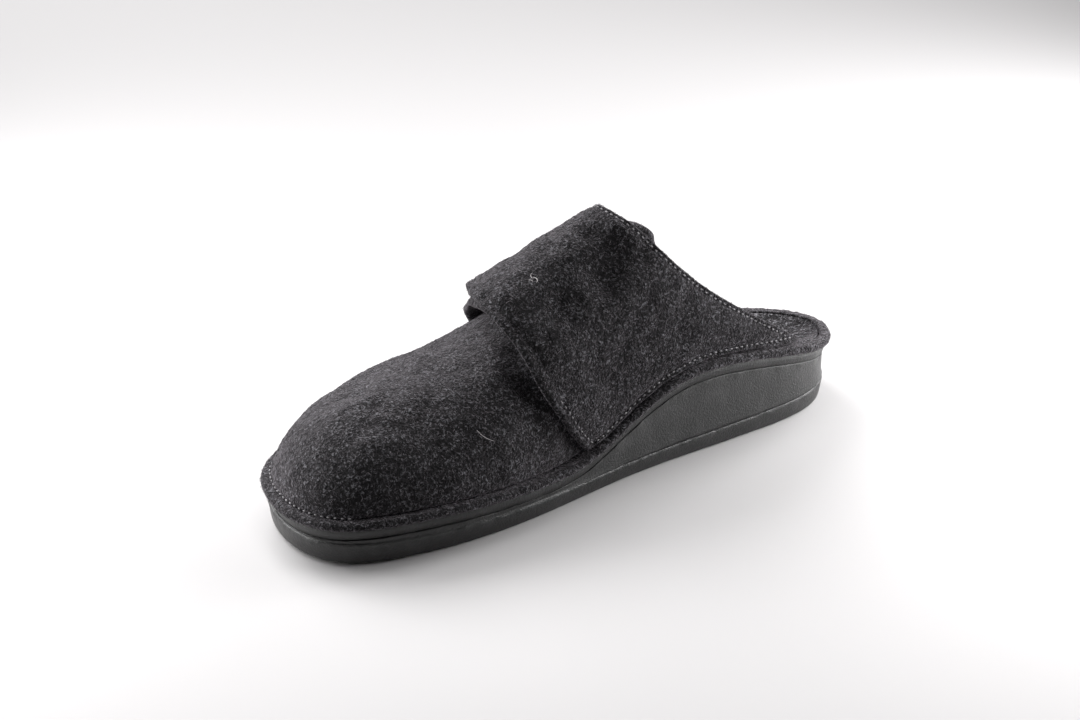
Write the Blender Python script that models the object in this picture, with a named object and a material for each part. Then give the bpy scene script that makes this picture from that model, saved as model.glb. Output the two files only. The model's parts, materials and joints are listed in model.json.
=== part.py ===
"""Backless felt house shoe for the right foot, on a moulded wedge sole.

Metres, +Z up. +X runs from heel to toe and +Y to the wearer's left, which is the inner (medial) side
of this foot. While it is shaped, x is counted from the back of the heel and y from the heel's middle.
At the end the shoe is moved so that the origin is the middle of its underside.

Every layer of the sole is carried round one closed plan line. The felt parts above it are all cut from
one surface, stitched(u, v): u runs from the collar (0) to the tip of the toe (1), and v from the medial
foot (0) over the crest (1) to the lateral foot (2).
"""

from collections import namedtuple
from math import pi, radians

import bmesh
import bpy
import numpy as np

MM = 0.001

# Driving dimensions
SOLE_LENGTH = 0.288
BALL_WIDTH = 0.103
ARCH_HEIGHT = 0.0415
INSTEP_HEIGHT = 0.1045
TOE_SPRING = 0.0018
FELT = 0.003
GAP = 0.0003

# Sole: where its underside leaves the floor, as a share of the length, and how it curves up from there,
# the moulded lip under the felt, the groove below it, and the footbed inside the felt ring
SPRING_START = 0.764
SPRING_POWER = 1.5
LIP_BAND = 0.0038
GROOVE = 0.0017
FOOTBED_THICKNESS = 0.0037
FOOTBED_PLAY = 0.0005

# Upper: how far its collar lies inside the strap's, in u, and the stretch of u over which its lines
# change from leaning along the collar to fanning at the toe
COLLAR_RECESS = 0.05
FAN_START = 0.35
FAN_END = 0.60

# Flaps: clearance of their feet, and how far they stand off the upper over the crest. They leave it
# at v = RISE_START and stand highest from u = RISE_END on. The strap climbs on the panel's top edge.
FLAP_FOOT_CLEARANCE = 0.0008
RISE_START = 0.30
RISE_END = 0.48
COLLAR_RISE = 0.0016
STRAP_FRONT_RISE = 0.0140
PANEL_FRONT_RISE = 0.0064
PANEL_TOP = 0.88
CLIMB_START = 0.45
CLIMB_END = 0.82

# Mesh density: steps between two rows of the sole, points across its dish, and steps over each felt part
STEPS_PER_ROW = 4
DISH_POINTS = 5
Grid = namedtuple("Grid", "along over")
UPPER_GRID = Grid(28, 24)
STRAP_GRID = Grid(12, 22)
PANEL_GRID = Grid(12, 15)
SMOOTH_ANGLE = radians(40)

# Short steps in u and v by which slopes are measured, and the band beside a foot or the crest where the
# surface is too steep or too flat in v to measure them
SHORT_STEP = 0.001
EDGE_BAND = 0.03

# Sections of the sole from heel to toe. Stations are shares of SOLE_LENGTH, widths from the middle are
# shares of BALL_WIDTH, and heights are shares of ARCH_HEIGHT. ridge is the top of the outsole, lip the top
# of the midsole's side, and dish the depth of the footbed in the middle. seat, a share of BALL_WIDTH, is how
# far the felt ring reaches in from the edge: it is narrow round the heel, where no upper stands on it.
SoleRow = namedtuple("SoleRow", "station medial lateral ridge lip_medial lip_lateral dish seat")
SOLE_ROWS = [
    SoleRow(0.000, 0.000, 0.000, 0.225, 0.615, 0.615, 0.00, 0.020),
    SoleRow(0.024, 0.168, 0.168, 0.225, 0.660, 0.580, 0.09, 0.020),
    SoleRow(0.080, 0.277, 0.276, 0.225, 0.750, 0.592, 0.18, 0.026),
    SoleRow(0.169, 0.323, 0.323, 0.220, 0.890, 0.690, 0.22, 0.048),
    SoleRow(0.288, 0.342, 0.346, 0.205, 1.000, 0.790, 0.24, 0.066),
    SoleRow(0.382, 0.356, 0.376, 0.195, 0.905, 0.740, 0.21, 0.070),
    SoleRow(0.469, 0.382, 0.422, 0.188, 0.635, 0.540, 0.13, 0.070),
    SoleRow(0.556, 0.423, 0.476, 0.185, 0.400, 0.385, 0.06, 0.070),
    SoleRow(0.660, 0.467, 0.515, 0.195, 0.372, 0.372, 0.04, 0.070),
    SoleRow(0.764, 0.481, 0.481, 0.212, 0.400, 0.400, 0.04, 0.070),
    SoleRow(0.868, 0.456, 0.379, 0.245, 0.428, 0.428, 0.03, 0.070),
    SoleRow(0.944, 0.392, 0.257, 0.268, 0.436, 0.436, 0.02, 0.070),
    SoleRow(0.986, 0.264, 0.121, 0.275, 0.428, 0.428, 0.01, 0.070),
    SoleRow(1.000, 0.078, -0.078, 0.275, 0.425, 0.425, 0.00, 0.070),
]
TOE = len(SOLE_ROWS) - 1
COLLAR = 2.43

# Side of the outsole: outset in mm from the plan line, and height between underside (0) and ridge (1)
OUTSOLE_SIDE = [(-1.6, 0.0), (-0.6, 0.06), (-0.1, 0.26), (0.3, 0.60), (0.7, 0.86), (0.4, 1.0)]

# Side of the midsole's wedge: outset in mm, and height between ridge (0) and groove (1)
WEDGE_SIDE = [(0.1, 0.0), (-0.1, 0.35), (-0.1, 0.70), (0.2, 1.0)]

# Side of the lip over the groove: outset in mm, and height between groove (0) and top (1)
LIP_SIDE = [(-0.6, 0.12), (-0.6, 0.24), (0.6, 0.32), (1.1, 0.65), (0.7, 1.0)]

# Side of the footbed: outset in mm from its edge, and share of its thickness
FOOTBED_SIDE = [(0.0, 0.0), (0.0, 0.75), (-0.6, 1.0)]

# Outside of the felt ring, from foot to top: outset and height in mm. Its inner side is upright.
RAND_SIDE = [(1.6, 0.0), (2.9, 0.8), (3.3, 2.1), (2.8, 3.4), (1.4, 4.1), (-0.9, 4.2)]
RAND_INNER = 0.0041
RAND_TOP = max(height for outset, height in RAND_SIDE) * MM

# Sections of the upper's inside from collar to toe. inset, in mm, is how far inside the sole's edge it
# stands. crest_x is a share of SOLE_LENGTH, crest_y of BALL_WIDTH and crest_z of INSTEP_HEIGHT; the last
# two say how full each side's curve is (2 = ellipse).
UpperRow = namedtuple("UpperRow", "u inset crest_x crest_y crest_z full_medial full_lateral")
UPPER_ROWS = [
    UpperRow(0.00, 5.5, 0.406, 0.00, 1.012, 2.25, 2.15),
    UpperRow(0.20, 5.5, 0.472, 0.01, 0.886, 2.20, 2.15),
    UpperRow(0.40, 5.2, 0.556, 0.03, 0.732, 2.10, 2.10),
    UpperRow(0.55, 3.8, 0.639, 0.04, 0.618, 2.10, 2.10),
    UpperRow(0.70, 3.2, 0.722, 0.05, 0.556, 2.12, 2.04),
    UpperRow(0.85, 3.0, 0.795, 0.06, 0.532, 2.08, 1.92),
    UpperRow(1.00, 3.0, 0.840, 0.06, 0.522, 1.92, 1.92),
]

# Collar line of both sides: v from foot to crest, and u there
CollarRow = namedtuple("CollarRow", "v u")
COLLAR_ROWS = [
    CollarRow(0.00, 0.010),
    CollarRow(0.14, 0.018),
    CollarRow(0.30, 0.023),
    CollarRow(0.52, 0.012),
    CollarRow(0.75, -0.016),
    CollarRow(1.00, -0.018),
]

# Edges of the two flaps: v along the flap, and u of its back and front edge there
FlapRow = namedtuple("FlapRow", "v back front")
STRAP_ROWS = [
    FlapRow(0.00, -0.010, 0.418),
    FlapRow(0.14, 0.010, 0.446),
    FlapRow(0.30, 0.021, 0.468),
    FlapRow(0.52, 0.012, 0.495),
    FlapRow(0.75, -0.014, 0.508),
    FlapRow(1.00, -0.018, 0.518),
    FlapRow(1.25, -0.012, 0.474),
    FlapRow(1.45, 0.010, 0.450),
    FlapRow(1.56, 0.045, 0.425),
    FlapRow(1.62, 0.100, 0.370),
]
PANEL_ROWS = [
    FlapRow(PANEL_TOP, 0.030, 0.470),
    FlapRow(0.96, 0.010, 0.494),
    FlapRow(1.10, -0.004, 0.500),
    FlapRow(1.30, -0.046, 0.490),
    FlapRow(1.50, -0.060, 0.470),
    FlapRow(1.60, -0.038, 0.455),
    FlapRow(1.72, -0.005, 0.440),
    FlapRow(2.00, 0.010, 0.415),
]


def smooth_table(rows, at):
    """The rows read at places in their first column, by cubics with the slopes of the neighbouring rows.

    Past either end the curve runs on straight.
    """
    table = np.array(rows, dtype=float)
    places = table[:, 0]
    slopes = np.gradient(table, places, axis=0)
    at = np.asarray(at, dtype=float)
    index = np.clip(np.searchsorted(places, at) - 1, 0, len(places) - 2)
    span = (places[index + 1] - places[index])[..., None]
    within = np.clip(at, places[0], places[-1])
    part = (within - places[index])[..., None] / span
    change = table[index + 1] - table[index]
    start = slopes[index] * span - change
    finish = change - slopes[index + 1] * span
    curve = table[index] + part * change + part * (1 - part) * ((1 - part) * start + part * finish)
    past = (at - within)[..., None]
    return curve + past * np.where(past < 0, slopes[0], slopes[-1])


def smooth_step(low, high, value):
    """0 below low, 1 above high, and a smooth rise between them."""
    share = np.clip((value - low) / (high - low), 0.0, 1.0)
    return share * share * (3 - 2 * share)


def closed_rows():
    """The sole's rows as one closed line: heel, medial side, toe, lateral side, all in metres."""

    def point(row, side, lip):
        heights = [row.ridge * ARCH_HEIGHT, lip * ARCH_HEIGHT, row.dish * ARCH_HEIGHT]
        return [row.station * SOLE_LENGTH, side * BALL_WIDTH] + heights + [row.seat * BALL_WIDTH]

    medial = [point(row, row.medial, row.lip_medial) for row in SOLE_ROWS]
    lateral = [point(row, -row.lateral, row.lip_lateral) for row in SOLE_ROWS[-2:0:-1]]
    return np.array(medial + lateral)


def around(at):
    """The closed line at row numbers at, where TOE is the tip of the toe.

    Gives x, y, ridge, lip, dish and seat there, and the outward normal in plan. It is a periodic cubic
    spline: the slope at each row is found from the condition that curvature is continuous.
    """
    rows = closed_rows()
    count = len(rows)
    same = np.eye(count)
    weights = 4 * same + np.roll(same, 1, axis=0) + np.roll(same, -1, axis=0)
    slopes = np.linalg.solve(weights, 3 * (np.roll(rows, -1, axis=0) - np.roll(rows, 1, axis=0)))
    at = np.asarray(at, dtype=float)
    low = np.floor(at).astype(int)
    part = (at - low)[..., None]
    here = rows[low % count]
    change = rows[(low + 1) % count] - here
    start = slopes[low % count] - change
    finish = change - slopes[(low + 1) % count]
    bend = (1 - part) * start + part * finish
    values = here + part * change + part * (1 - part) * bend
    speed = change + (1 - 2 * part) * bend + part * (1 - part) * (finish - start)
    normal = np.stack([-speed[..., 1], speed[..., 0]], axis=-1)
    normal = normal / np.linalg.norm(normal, axis=-1, keepdims=True)
    return values, normal


RING_COUNT = 2 * TOE * STEPS_PER_ROW
RING, RING_NORMAL = around(np.arange(RING_COUNT) / STEPS_PER_ROW)
RIDGE = RING[:, 2]
LIP = RING[:, 3]
DISH = RING[:, 4]
SEAT = RING[:, 5]
PAST_SPRING_START = (RING[:, 0] / SOLE_LENGTH - SPRING_START) / (1 - SPRING_START)
LIFT = TOE_SPRING * np.maximum(PAST_SPRING_START, 0.0) ** SPRING_POWER


def ring(outset, height):
    """The plan line moved out by outset, at the given height."""
    flat = RING[:, :2] + RING_NORMAL * np.broadcast_to(outset, RING_COUNT)[:, None]
    return np.column_stack([flat, np.broadcast_to(height, RING_COUNT)])


def dished(edge):
    """Rows of points across the middle of a ring, from the medial to the lateral side, sunk by the dish.

    The depth is 1 - w squared times the dish, where w runs from -1 to 1 across.
    """
    share = np.linspace(0, 1, DISH_POINTS + 2)[1:-1]
    medial = edge[1 : RING_COUNT // 2]
    lateral = edge[: RING_COUNT // 2 : -1]
    points = medial[:, None] + (lateral - medial)[:, None] * share[:, None]
    points[..., 2] -= DISH[1 : RING_COUNT // 2, None] * (1 - (2 * share - 1) ** 2)
    return points


def mesh_object(name, points, faces, material):
    """A closed mesh with its faces turned outwards."""
    shape = bmesh.new()
    corners = [shape.verts.new(point) for point in points]
    for face in faces:
        shape.faces.new([corners[index] for index in face])
    bmesh.ops.recalc_face_normals(shape, faces=shape.faces)
    mesh = bpy.data.meshes.new(name)
    shape.to_mesh(mesh)
    shape.free()
    mesh.materials.append(material)
    mesh.shade_smooth()
    mesh.set_sharp_from_angle(angle=SMOOTH_ANGLE)
    piece = bpy.data.objects.new(name, mesh)
    bpy.context.scene.collection.objects.link(piece)
    return piece


def strip_faces(first, second, closed):
    """Four-sided faces between two lines of point numbers."""
    count = len(first) if closed else len(first) - 1
    following = [(index + 1) % len(first) for index in range(count)]
    return [(first[i], first[j], second[j], second[i]) for i, j in zip(range(count), following)]


def cap_faces(edge, inner):
    """Faces that fill a ring: edge holds its point numbers, inner the rows of points across it, if any."""
    half = RING_COUNT // 2
    rows = [[edge[i], *(inner[i - 1] if inner else []), edge[RING_COUNT - i]] for i in range(1, half)]
    faces = []
    for row, following in zip(rows, rows[1:]):
        faces += strip_faces(row, following, closed=False)
    for tip, row in ((edge[0], rows[0]), (edge[half], rows[-1])):
        faces += [(tip, one, two) for one, two in zip(row, row[1:])]
    return faces


def layered(name, rings, material, dished_top=False, dished_foot=False):
    """A solid from rings stacked bottom to top, capped at both ends by flat or dished faces."""
    points = np.concatenate(rings)
    numbers = np.arange(len(points)).reshape(len(rings), RING_COUNT)
    faces = []
    for lower, upper in zip(numbers, numbers[1:]):
        faces += strip_faces(lower, upper, closed=True)
    for edge, line, is_dished in ((numbers[0], rings[0], dished_foot), (numbers[-1], rings[-1], dished_top)):
        inner = None
        if is_dished:
            middle = dished(line)
            inner = (len(points) + np.arange(len(middle) * DISH_POINTS)).reshape(-1, DISH_POINTS).tolist()
            points = np.concatenate([points, middle.reshape(-1, 3)])
        faces += cap_faces(edge, inner)
    return mesh_object(name, points, faces, material)


def build_outsole(material):
    """The tread layer: flat underside with a little toe spring, rounded edge, and a ridge round its top."""
    rings = [ring(outset * MM, LIFT + (RIDGE - LIFT) * share) for outset, share in OUTSOLE_SIDE]
    return layered("outsole", rings, material)


def build_midsole(material):
    """The wedge with a hollow side, a groove, the lip that carries the felt, and a dish for the footbed."""
    foot = RIDGE + GAP
    wedge_top = LIP - LIP_BAND - GROOVE
    rings = [ring(outset * MM, foot + (wedge_top - foot) * share) for outset, share in WEDGE_SIDE]
    rings += [ring(outset * MM, wedge_top + (LIP - wedge_top) * share) for outset, share in LIP_SIDE]
    rings.append(ring(-SEAT, LIP))
    return layered("midsole", rings, material, dished_top=True)


def build_footbed(material):
    """The felt insole: an even sheet in the midsole's dish, inside the felt ring."""
    rings = [
        ring(outset * MM - FOOTBED_PLAY - SEAT, LIP + GAP + FOOTBED_THICKNESS * share)
        for outset, share in FOOTBED_SIDE
    ]
    return layered("footbed", rings, material, dished_top=True, dished_foot=True)


def build_rand(material):
    """The felt ring on the lip, all round the shoe: the flange in front and the rim at the heel."""
    foot = LIP + GAP
    rings = [ring(outset * MM, foot + height * MM) for outset, height in RAND_SIDE]
    rings += [ring(-SEAT, foot + RAND_INNER), ring(-SEAT, foot)]
    numbers = np.arange(len(rings) * RING_COUNT).reshape(len(rings), RING_COUNT)
    faces = []
    for lower, upper in zip(numbers, np.roll(numbers, -1, axis=0)):
        faces += strip_faces(lower, upper, closed=True)
    return mesh_object("rand", np.concatenate(rings), faces, material)


def inside(u, v):
    """The inner surface of the upper.

    Each line from foot to crest is a superellipse: its sideways share is 1 - cos(t)^p and its height
    share sin(t)^p, with t from 0 to a quarter turn and p = 2 / fullness. Behind the ball the line leans
    forward with its height, along the collar; towards the toe it fans out from the crest's end, where
    it keeps the crest's own slope.
    """
    u, v = np.broadcast_arrays(np.asarray(u, dtype=float), np.asarray(v, dtype=float))
    row = COLLAR + u * (TOE - COLLAR)
    lateral = v > 1
    foot, normal = around(np.where(lateral, 2 * TOE - row, row))
    section = smooth_table(UPPER_ROWS, u)
    change = smooth_table(UPPER_ROWS, u + SHORT_STEP) - smooth_table(UPPER_ROWS, u - SHORT_STEP)
    slope = change[..., 4] * INSTEP_HEIGHT / (change[..., 2] * SOLE_LENGTH)
    inset = section[..., 1] * MM
    crest_x = section[..., 2] * SOLE_LENGTH
    crest_y = section[..., 3] * BALL_WIDTH
    crest_z = section[..., 4] * INSTEP_HEIGHT
    foot_x = foot[..., 0] - normal[..., 0] * inset
    foot_y = foot[..., 1] - normal[..., 1] * inset
    foot_z = foot[..., 3] + GAP + RAND_TOP + GAP
    turn = np.clip(np.where(lateral, 2 - v, v), 0, 1) * pi / 2
    power = 2 / np.where(lateral, section[..., 6], section[..., 5])
    sideways = 1 - np.cos(turn).clip(0) ** power
    height = np.sin(turn).clip(0) ** power
    fan = smooth_step(FAN_START, FAN_END, u)
    forward = height + (sideways - height) * fan
    ramp = slope * (crest_x - foot_x) * fan
    x = foot_x + (crest_x - foot_x) * forward
    y = foot_y + (crest_y - foot_y) * sideways
    z = foot_z + ramp * sideways + (crest_z - foot_z - ramp) * height
    return np.stack([x, y, z], axis=-1)


def side_normal(u, v):
    """Unit normal of the upper's inner surface, by short steps on the point's own side of the crest."""
    ahead = np.minimum(u + SHORT_STEP, 1.0)
    along = inside(ahead, v) - inside(ahead - 2 * SHORT_STEP, v)
    lowest = np.where(v > 1, 1.0, 0.0)
    over = inside(u, np.minimum(v + SHORT_STEP, lowest + 1)) - inside(u, np.maximum(v - SHORT_STEP, lowest))
    normal = np.cross(over, along)
    return normal / np.linalg.norm(normal, axis=-1, keepdims=True)


def outward(u, v):
    """Unit normal of the upper's inner surface, out of the shoe: on the crest the mean of both sides."""
    u, v = np.broadcast_arrays(np.asarray(u, dtype=float), np.asarray(v, dtype=float))
    on_crest = np.abs(v - 1) < EDGE_BAND
    clear_of_feet = np.clip(v, EDGE_BAND, 2 - EDGE_BAND)
    medial = side_normal(u, np.where(on_crest, 1 - EDGE_BAND, clear_of_feet))
    lateral = side_normal(u, np.where(on_crest, 1 + EDGE_BAND, clear_of_feet))
    normal = medial + lateral
    return normal / np.linalg.norm(normal, axis=-1, keepdims=True)


def stitched(u, v, outset, clearance=0.0):
    """The surface that the felt parts are cut from: the upper's inside moved out by outset.

    Along both feet the points are set at the felt ring's height, plus any clearance.
    """
    u, v = np.broadcast_arrays(np.asarray(u, dtype=float), np.asarray(v, dtype=float))
    points = inside(u, v)
    foot = points[..., 2].copy()
    points = points + outward(u, v) * np.broadcast_to(outset, u.shape)[..., None]
    on_foot = (v <= 0) | (v >= 2)
    points[..., 2] = np.where(on_foot, foot + clearance, points[..., 2])
    return points


def sheet(name, inner, outer, faces, material):
    """A wall between two like grids of points: both faces, and a rim along every open edge."""
    count = len(inner)
    uses = {}
    for face in faces:
        for start, end in zip(face, (*face[1:], face[0])):
            uses.setdefault(frozenset((start, end)), []).append((start, end))
    rim = [edges[0] for edges in uses.values() if len(edges) == 1]
    walls = [tuple(face) for face in faces]
    walls += [tuple(count + index for index in reversed(face)) for face in faces]
    walls += [(end, start, count + start, count + end) for start, end in rim]
    return mesh_object(name, np.concatenate([outer, inner]), walls, material)


def grid_faces(number):
    """Four-sided faces over a grid of point numbers, whose lines run from back to front."""
    faces = []
    for back, front in zip(number, number[1:]):
        faces += strip_faces(front, back, closed=False)
    return faces


def build_upper(material):
    """The main felt shell, toe to collar, open underneath and at the back.

    Its grid is folded round the toe: at u = 1 the medial and lateral halves share their points, and the
    crest's last point is left out, because it lies on the line between its neighbours.
    """
    turn = np.linspace(0, 2, UPPER_GRID.over + 1)
    collar = smooth_table(COLLAR_ROWS, np.minimum(turn, 2 - turn))[:, 1] + COLLAR_RECESS
    u = 1 - (1 - collar) * np.linspace(1, 0, UPPER_GRID.along + 1)[:, None]
    v = np.broadcast_to(turn, u.shape)
    number = np.arange(u.size).reshape(u.shape)
    crest = UPPER_GRID.over // 2
    number[-1, crest + 1 :] = number[-1, crest - 1 :: -1]
    crest_end = number[-1, crest]
    faces = [[index for index in face if index != crest_end] for face in grid_faces(number.tolist())]
    used = np.unique(np.concatenate(faces))
    renumbered = {old: new for new, old in enumerate(used)}
    faces = [[renumbered[index] for index in face] for face in faces]
    inner = inside(u, v).reshape(-1, 3)[used]
    outer = stitched(u, v, FELT).reshape(-1, 3)[used]
    return sheet("upper", inner, outer, faces, material)


def rise(u, v, front_rise):
    """How far a flap stands off the upper: nothing at its sewn sides, most over the crest in front."""
    girth = smooth_step(RISE_START, 1.0, np.minimum(v, 2 - v))
    return girth * (COLLAR_RISE + (front_rise - COLLAR_RISE) * smooth_step(0.0, RISE_END, u))


def panel_outset(u, v):
    """The closing panel lies straight on the upper."""
    return FELT + GAP + rise(u, v, PANEL_FRONT_RISE)


def strap_outset(u, v):
    """The strap lies on the upper at the medial side, and over the panel from just before the crest on."""
    over_panel = smooth_step(CLIMB_START, CLIMB_END, v) * (FELT + GAP)
    return FELT + GAP + over_panel + rise(u, v, STRAP_FRONT_RISE)


def build_flap(name, rows, grid, outset_at, material):
    """A felt flap between its back and front edges, at the outset that the given function says."""
    v = np.linspace(rows[0].v, rows[-1].v, grid.over + 1)
    edges = smooth_table(rows, v)
    share = np.linspace(0, 1, grid.along + 1)[:, None]
    u = edges[:, 1] + (edges[:, 2] - edges[:, 1]) * share
    v = np.broadcast_to(v, u.shape)
    faces = grid_faces(np.arange(u.size).reshape(u.shape).tolist())
    outset = outset_at(u, v)
    inner = stitched(u, v, outset, FLAP_FOOT_CLEARANCE).reshape(-1, 3)
    outer = stitched(u, v, outset + FELT, FLAP_FOOT_CLEARANCE).reshape(-1, 3)
    return sheet(name, inner, outer, faces, material)


def build_strap(material):
    """The medial side and the broad strap in one: from the felt ring over the instep to the lateral side."""
    return build_flap("strap", STRAP_ROWS, STRAP_GRID, strap_outset, material)


def build_panel(material):
    """The lateral side, which the strap closes on: its front corner shows under the strap."""
    return build_flap("closing_panel", PANEL_ROWS, PANEL_GRID, panel_outset, material)


def plain_material(name, colour, roughness):
    """A Principled material of one colour, without metal."""
    material = bpy.data.materials.new(name)
    material.use_nodes = True
    shader = material.node_tree.nodes["Principled BSDF"]
    shader.inputs["Base Color"].default_value = (*colour, 1.0)
    shader.inputs["Roughness"].default_value = roughness
    shader.inputs["Metallic"].default_value = 0.0
    return material


def centre_on_floor(pieces):
    """Parents the pieces to an empty placed so that the origin is the middle of the underside."""
    points = np.concatenate([[corner.co[:] for corner in piece.data.vertices] for piece in pieces])
    middle = (points.min(axis=0) + points.max(axis=0)) / 2
    shoe = bpy.data.objects.new("shoe", None)
    shoe.location = (-middle[0], -middle[1], -points[:, 2].min())
    bpy.context.scene.collection.objects.link(shoe)
    for piece in pieces:
        piece.parent = shoe


def main():
    for old in list(bpy.data.objects):
        bpy.data.objects.remove(old)
    felt = plain_material("charcoal felt", (0.035, 0.035, 0.038), 0.95)
    insole_felt = plain_material("footbed felt", (0.030, 0.030, 0.032), 0.95)
    rubber = plain_material("black rubber", (0.012, 0.012, 0.012), 0.45)
    foam = plain_material("black grained foam", (0.016, 0.016, 0.016), 0.50)
    pieces = [
        build_outsole(rubber),
        build_midsole(foam),
        build_footbed(insole_felt),
        build_rand(felt),
        build_upper(felt),
        build_panel(felt),
        build_strap(felt),
    ]
    centre_on_floor(pieces)


main()
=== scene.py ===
"""Finished look of a backless felt house slipper for the right foot.

Metres, +Z up. +X runs from heel to toe and +Y to the wearer's left, the inner (medial) side of this foot.
The solids are loaded as a fixed frame, and every piece here replaces one of them or rides with them. The
shapes come from tables like those of the solids, a little finer: the sole's layers follow one closed plan
line, and the felt parts are cut from one surface, stitched(u, v), where u runs from the collar (0) to the
tip of the toe (1) and v from the medial foot (0) over the crest (1) to the lateral foot (2). While a shape
is worked out, x is counted from the back of the heel and y from the heel's middle, and SHIFT moves it into
the frame.
"""

import json
from collections import namedtuple
from math import cos, pi, radians, sin

import bmesh
import bpy
import numpy as np
from bpy.props import FloatProperty, FloatVectorProperty, IntProperty, PointerProperty
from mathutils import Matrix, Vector


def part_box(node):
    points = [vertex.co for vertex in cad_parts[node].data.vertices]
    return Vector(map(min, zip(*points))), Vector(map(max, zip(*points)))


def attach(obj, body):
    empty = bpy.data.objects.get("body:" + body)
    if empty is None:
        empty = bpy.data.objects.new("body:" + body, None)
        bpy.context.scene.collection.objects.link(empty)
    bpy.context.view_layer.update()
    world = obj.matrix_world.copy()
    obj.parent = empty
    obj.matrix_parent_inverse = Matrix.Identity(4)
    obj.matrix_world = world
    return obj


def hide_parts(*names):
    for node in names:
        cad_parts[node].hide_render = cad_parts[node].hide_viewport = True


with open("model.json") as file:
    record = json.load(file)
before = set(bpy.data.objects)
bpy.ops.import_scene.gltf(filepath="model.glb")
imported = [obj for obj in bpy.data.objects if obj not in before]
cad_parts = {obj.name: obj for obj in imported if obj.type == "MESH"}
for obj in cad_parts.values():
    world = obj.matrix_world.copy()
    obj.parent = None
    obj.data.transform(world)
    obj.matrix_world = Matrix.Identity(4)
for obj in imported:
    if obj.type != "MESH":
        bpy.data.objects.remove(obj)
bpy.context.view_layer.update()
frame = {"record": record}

bl_info = {
    "name": "Felt House Slipper",
    "version": (1, 0, 0),
    "blender": (4, 5, 0),
    "location": "View3D > Sidebar > Slipper",
    "description": "Builds the finished pieces of a felt house slipper in place of its plain solids",
    "category": "Mesh",
}

MM = 0.001
SLOTS = {row["slot"]: row for row in frame["record"]["materials"]}

# Driving dimensions, as in the solids
SOLE_LENGTH = 0.288
BALL_WIDTH = 0.103
ARCH_HEIGHT = 0.0415
INSTEP_HEIGHT = 0.1045
TOE_SPRING = 0.0018
FELT = 0.003
GAP = 0.0003

# Sole: where its underside leaves the floor, the moulded lip, the groove below it, how far the wedge
# reaches down over the outsole's ridge, and the footbed
SPRING_START = 0.764
SPRING_POWER = 1.5
LIP_BAND = 0.0038
GROOVE = 0.0017
WEDGE_OVERLAP = 0.0001
FOOTBED_THICKNESS = 0.0037
FOOTBED_PLAY = 0.0005

# Upper and flaps: how their lines lean and fan, and how far the flaps stand off the upper
COLLAR_RECESS = 0.05
FAN_START = 0.35
FAN_END = 0.60
FLAP_FOOT_CLEARANCE = 0.0008
RISE_START = 0.30
RISE_END = 0.48
COLLAR_RISE = 0.0016
STRAP_FRONT_RISE = 0.0140
PANEL_FRONT_RISE = 0.0064
PANEL_TOP = 0.88
CLIMB_START = 0.45
CLIMB_END = 0.82

# Short steps by which slopes are measured, and the bands beside the feet and the crest where the surface is
# too steep or too flat to measure them: over CREST_BAND one side's normal turns into the other's
SHORT_STEP = 0.001
EDGE_BAND = 0.03
CREST_BAND = 0.12
FOOT_BAND = 0.05

# Sections of the sole, in shares of SOLE_LENGTH, BALL_WIDTH and ARCH_HEIGHT; seat is the width of the felt
# ring inside the plan line
SoleRow = namedtuple("SoleRow", "station medial lateral ridge lip_medial lip_lateral dish seat")
SOLE_ROWS = [
    SoleRow(0.000, 0.000, 0.000, 0.225, 0.615, 0.615, 0.00, 0.020),
    SoleRow(0.024, 0.168, 0.168, 0.225, 0.660, 0.580, 0.09, 0.020),
    SoleRow(0.080, 0.277, 0.276, 0.225, 0.750, 0.592, 0.18, 0.026),
    SoleRow(0.169, 0.323, 0.323, 0.220, 0.890, 0.690, 0.22, 0.048),
    SoleRow(0.288, 0.342, 0.346, 0.205, 1.000, 0.790, 0.24, 0.066),
    SoleRow(0.382, 0.356, 0.376, 0.195, 0.905, 0.740, 0.21, 0.070),
    SoleRow(0.469, 0.382, 0.422, 0.188, 0.635, 0.540, 0.13, 0.070),
    SoleRow(0.556, 0.423, 0.476, 0.185, 0.400, 0.385, 0.06, 0.070),
    SoleRow(0.660, 0.467, 0.515, 0.195, 0.372, 0.372, 0.04, 0.070),
    SoleRow(0.764, 0.481, 0.481, 0.212, 0.400, 0.400, 0.04, 0.070),
    SoleRow(0.868, 0.456, 0.379, 0.245, 0.428, 0.428, 0.03, 0.070),
    SoleRow(0.944, 0.392, 0.257, 0.268, 0.436, 0.436, 0.02, 0.070),
    SoleRow(0.986, 0.264, 0.121, 0.275, 0.428, 0.428, 0.01, 0.070),
    SoleRow(1.000, 0.078, -0.078, 0.275, 0.425, 0.425, 0.00, 0.070),
]
TOE = len(SOLE_ROWS) - 1
COLLAR = 2.43

# Sides of the sole's layers: outset in mm from the plan line, and share of the layer's height
OUTSOLE_SIDE = [(-1.6, 0.0), (-0.6, 0.06), (-0.1, 0.26), (0.3, 0.60), (0.6, 0.86), (0.3, 1.0)]
WEDGE_SIDE = [(0.2, 0.0), (-0.1, 0.35), (-0.1, 0.70), (-0.1, 0.96), (-0.2, 1.0)]
LIP_SIDE = [(-0.8, -0.10), (-0.9, 0.04), (0.0, 0.17), (0.8, 0.60), (0.5, 1.0)]
FOOTBED_SIDE = [(0.0, 0.0), (0.0, 0.40), (0.0, 0.75), (-0.6, 1.0)]

# Outside of the felt ring, from foot to top: outset and height in mm. Its inner side is upright, RAND_INNER
# high, with a rounded top edge: how far it stands in from that side, and how far below its top, in mm
RAND_SIDE = [(1.6, 0.0), (2.9, 0.8), (3.3, 2.1), (2.8, 3.4), (1.4, 4.1), (-0.9, 4.2)]
RAND_EDGE = [(0.5, 0.0), (0.15, 0.15), (0.0, 0.5)]
RAND_INNER = 0.0041
RAND_TOP = max(height for outset, height in RAND_SIDE) * MM

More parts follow.
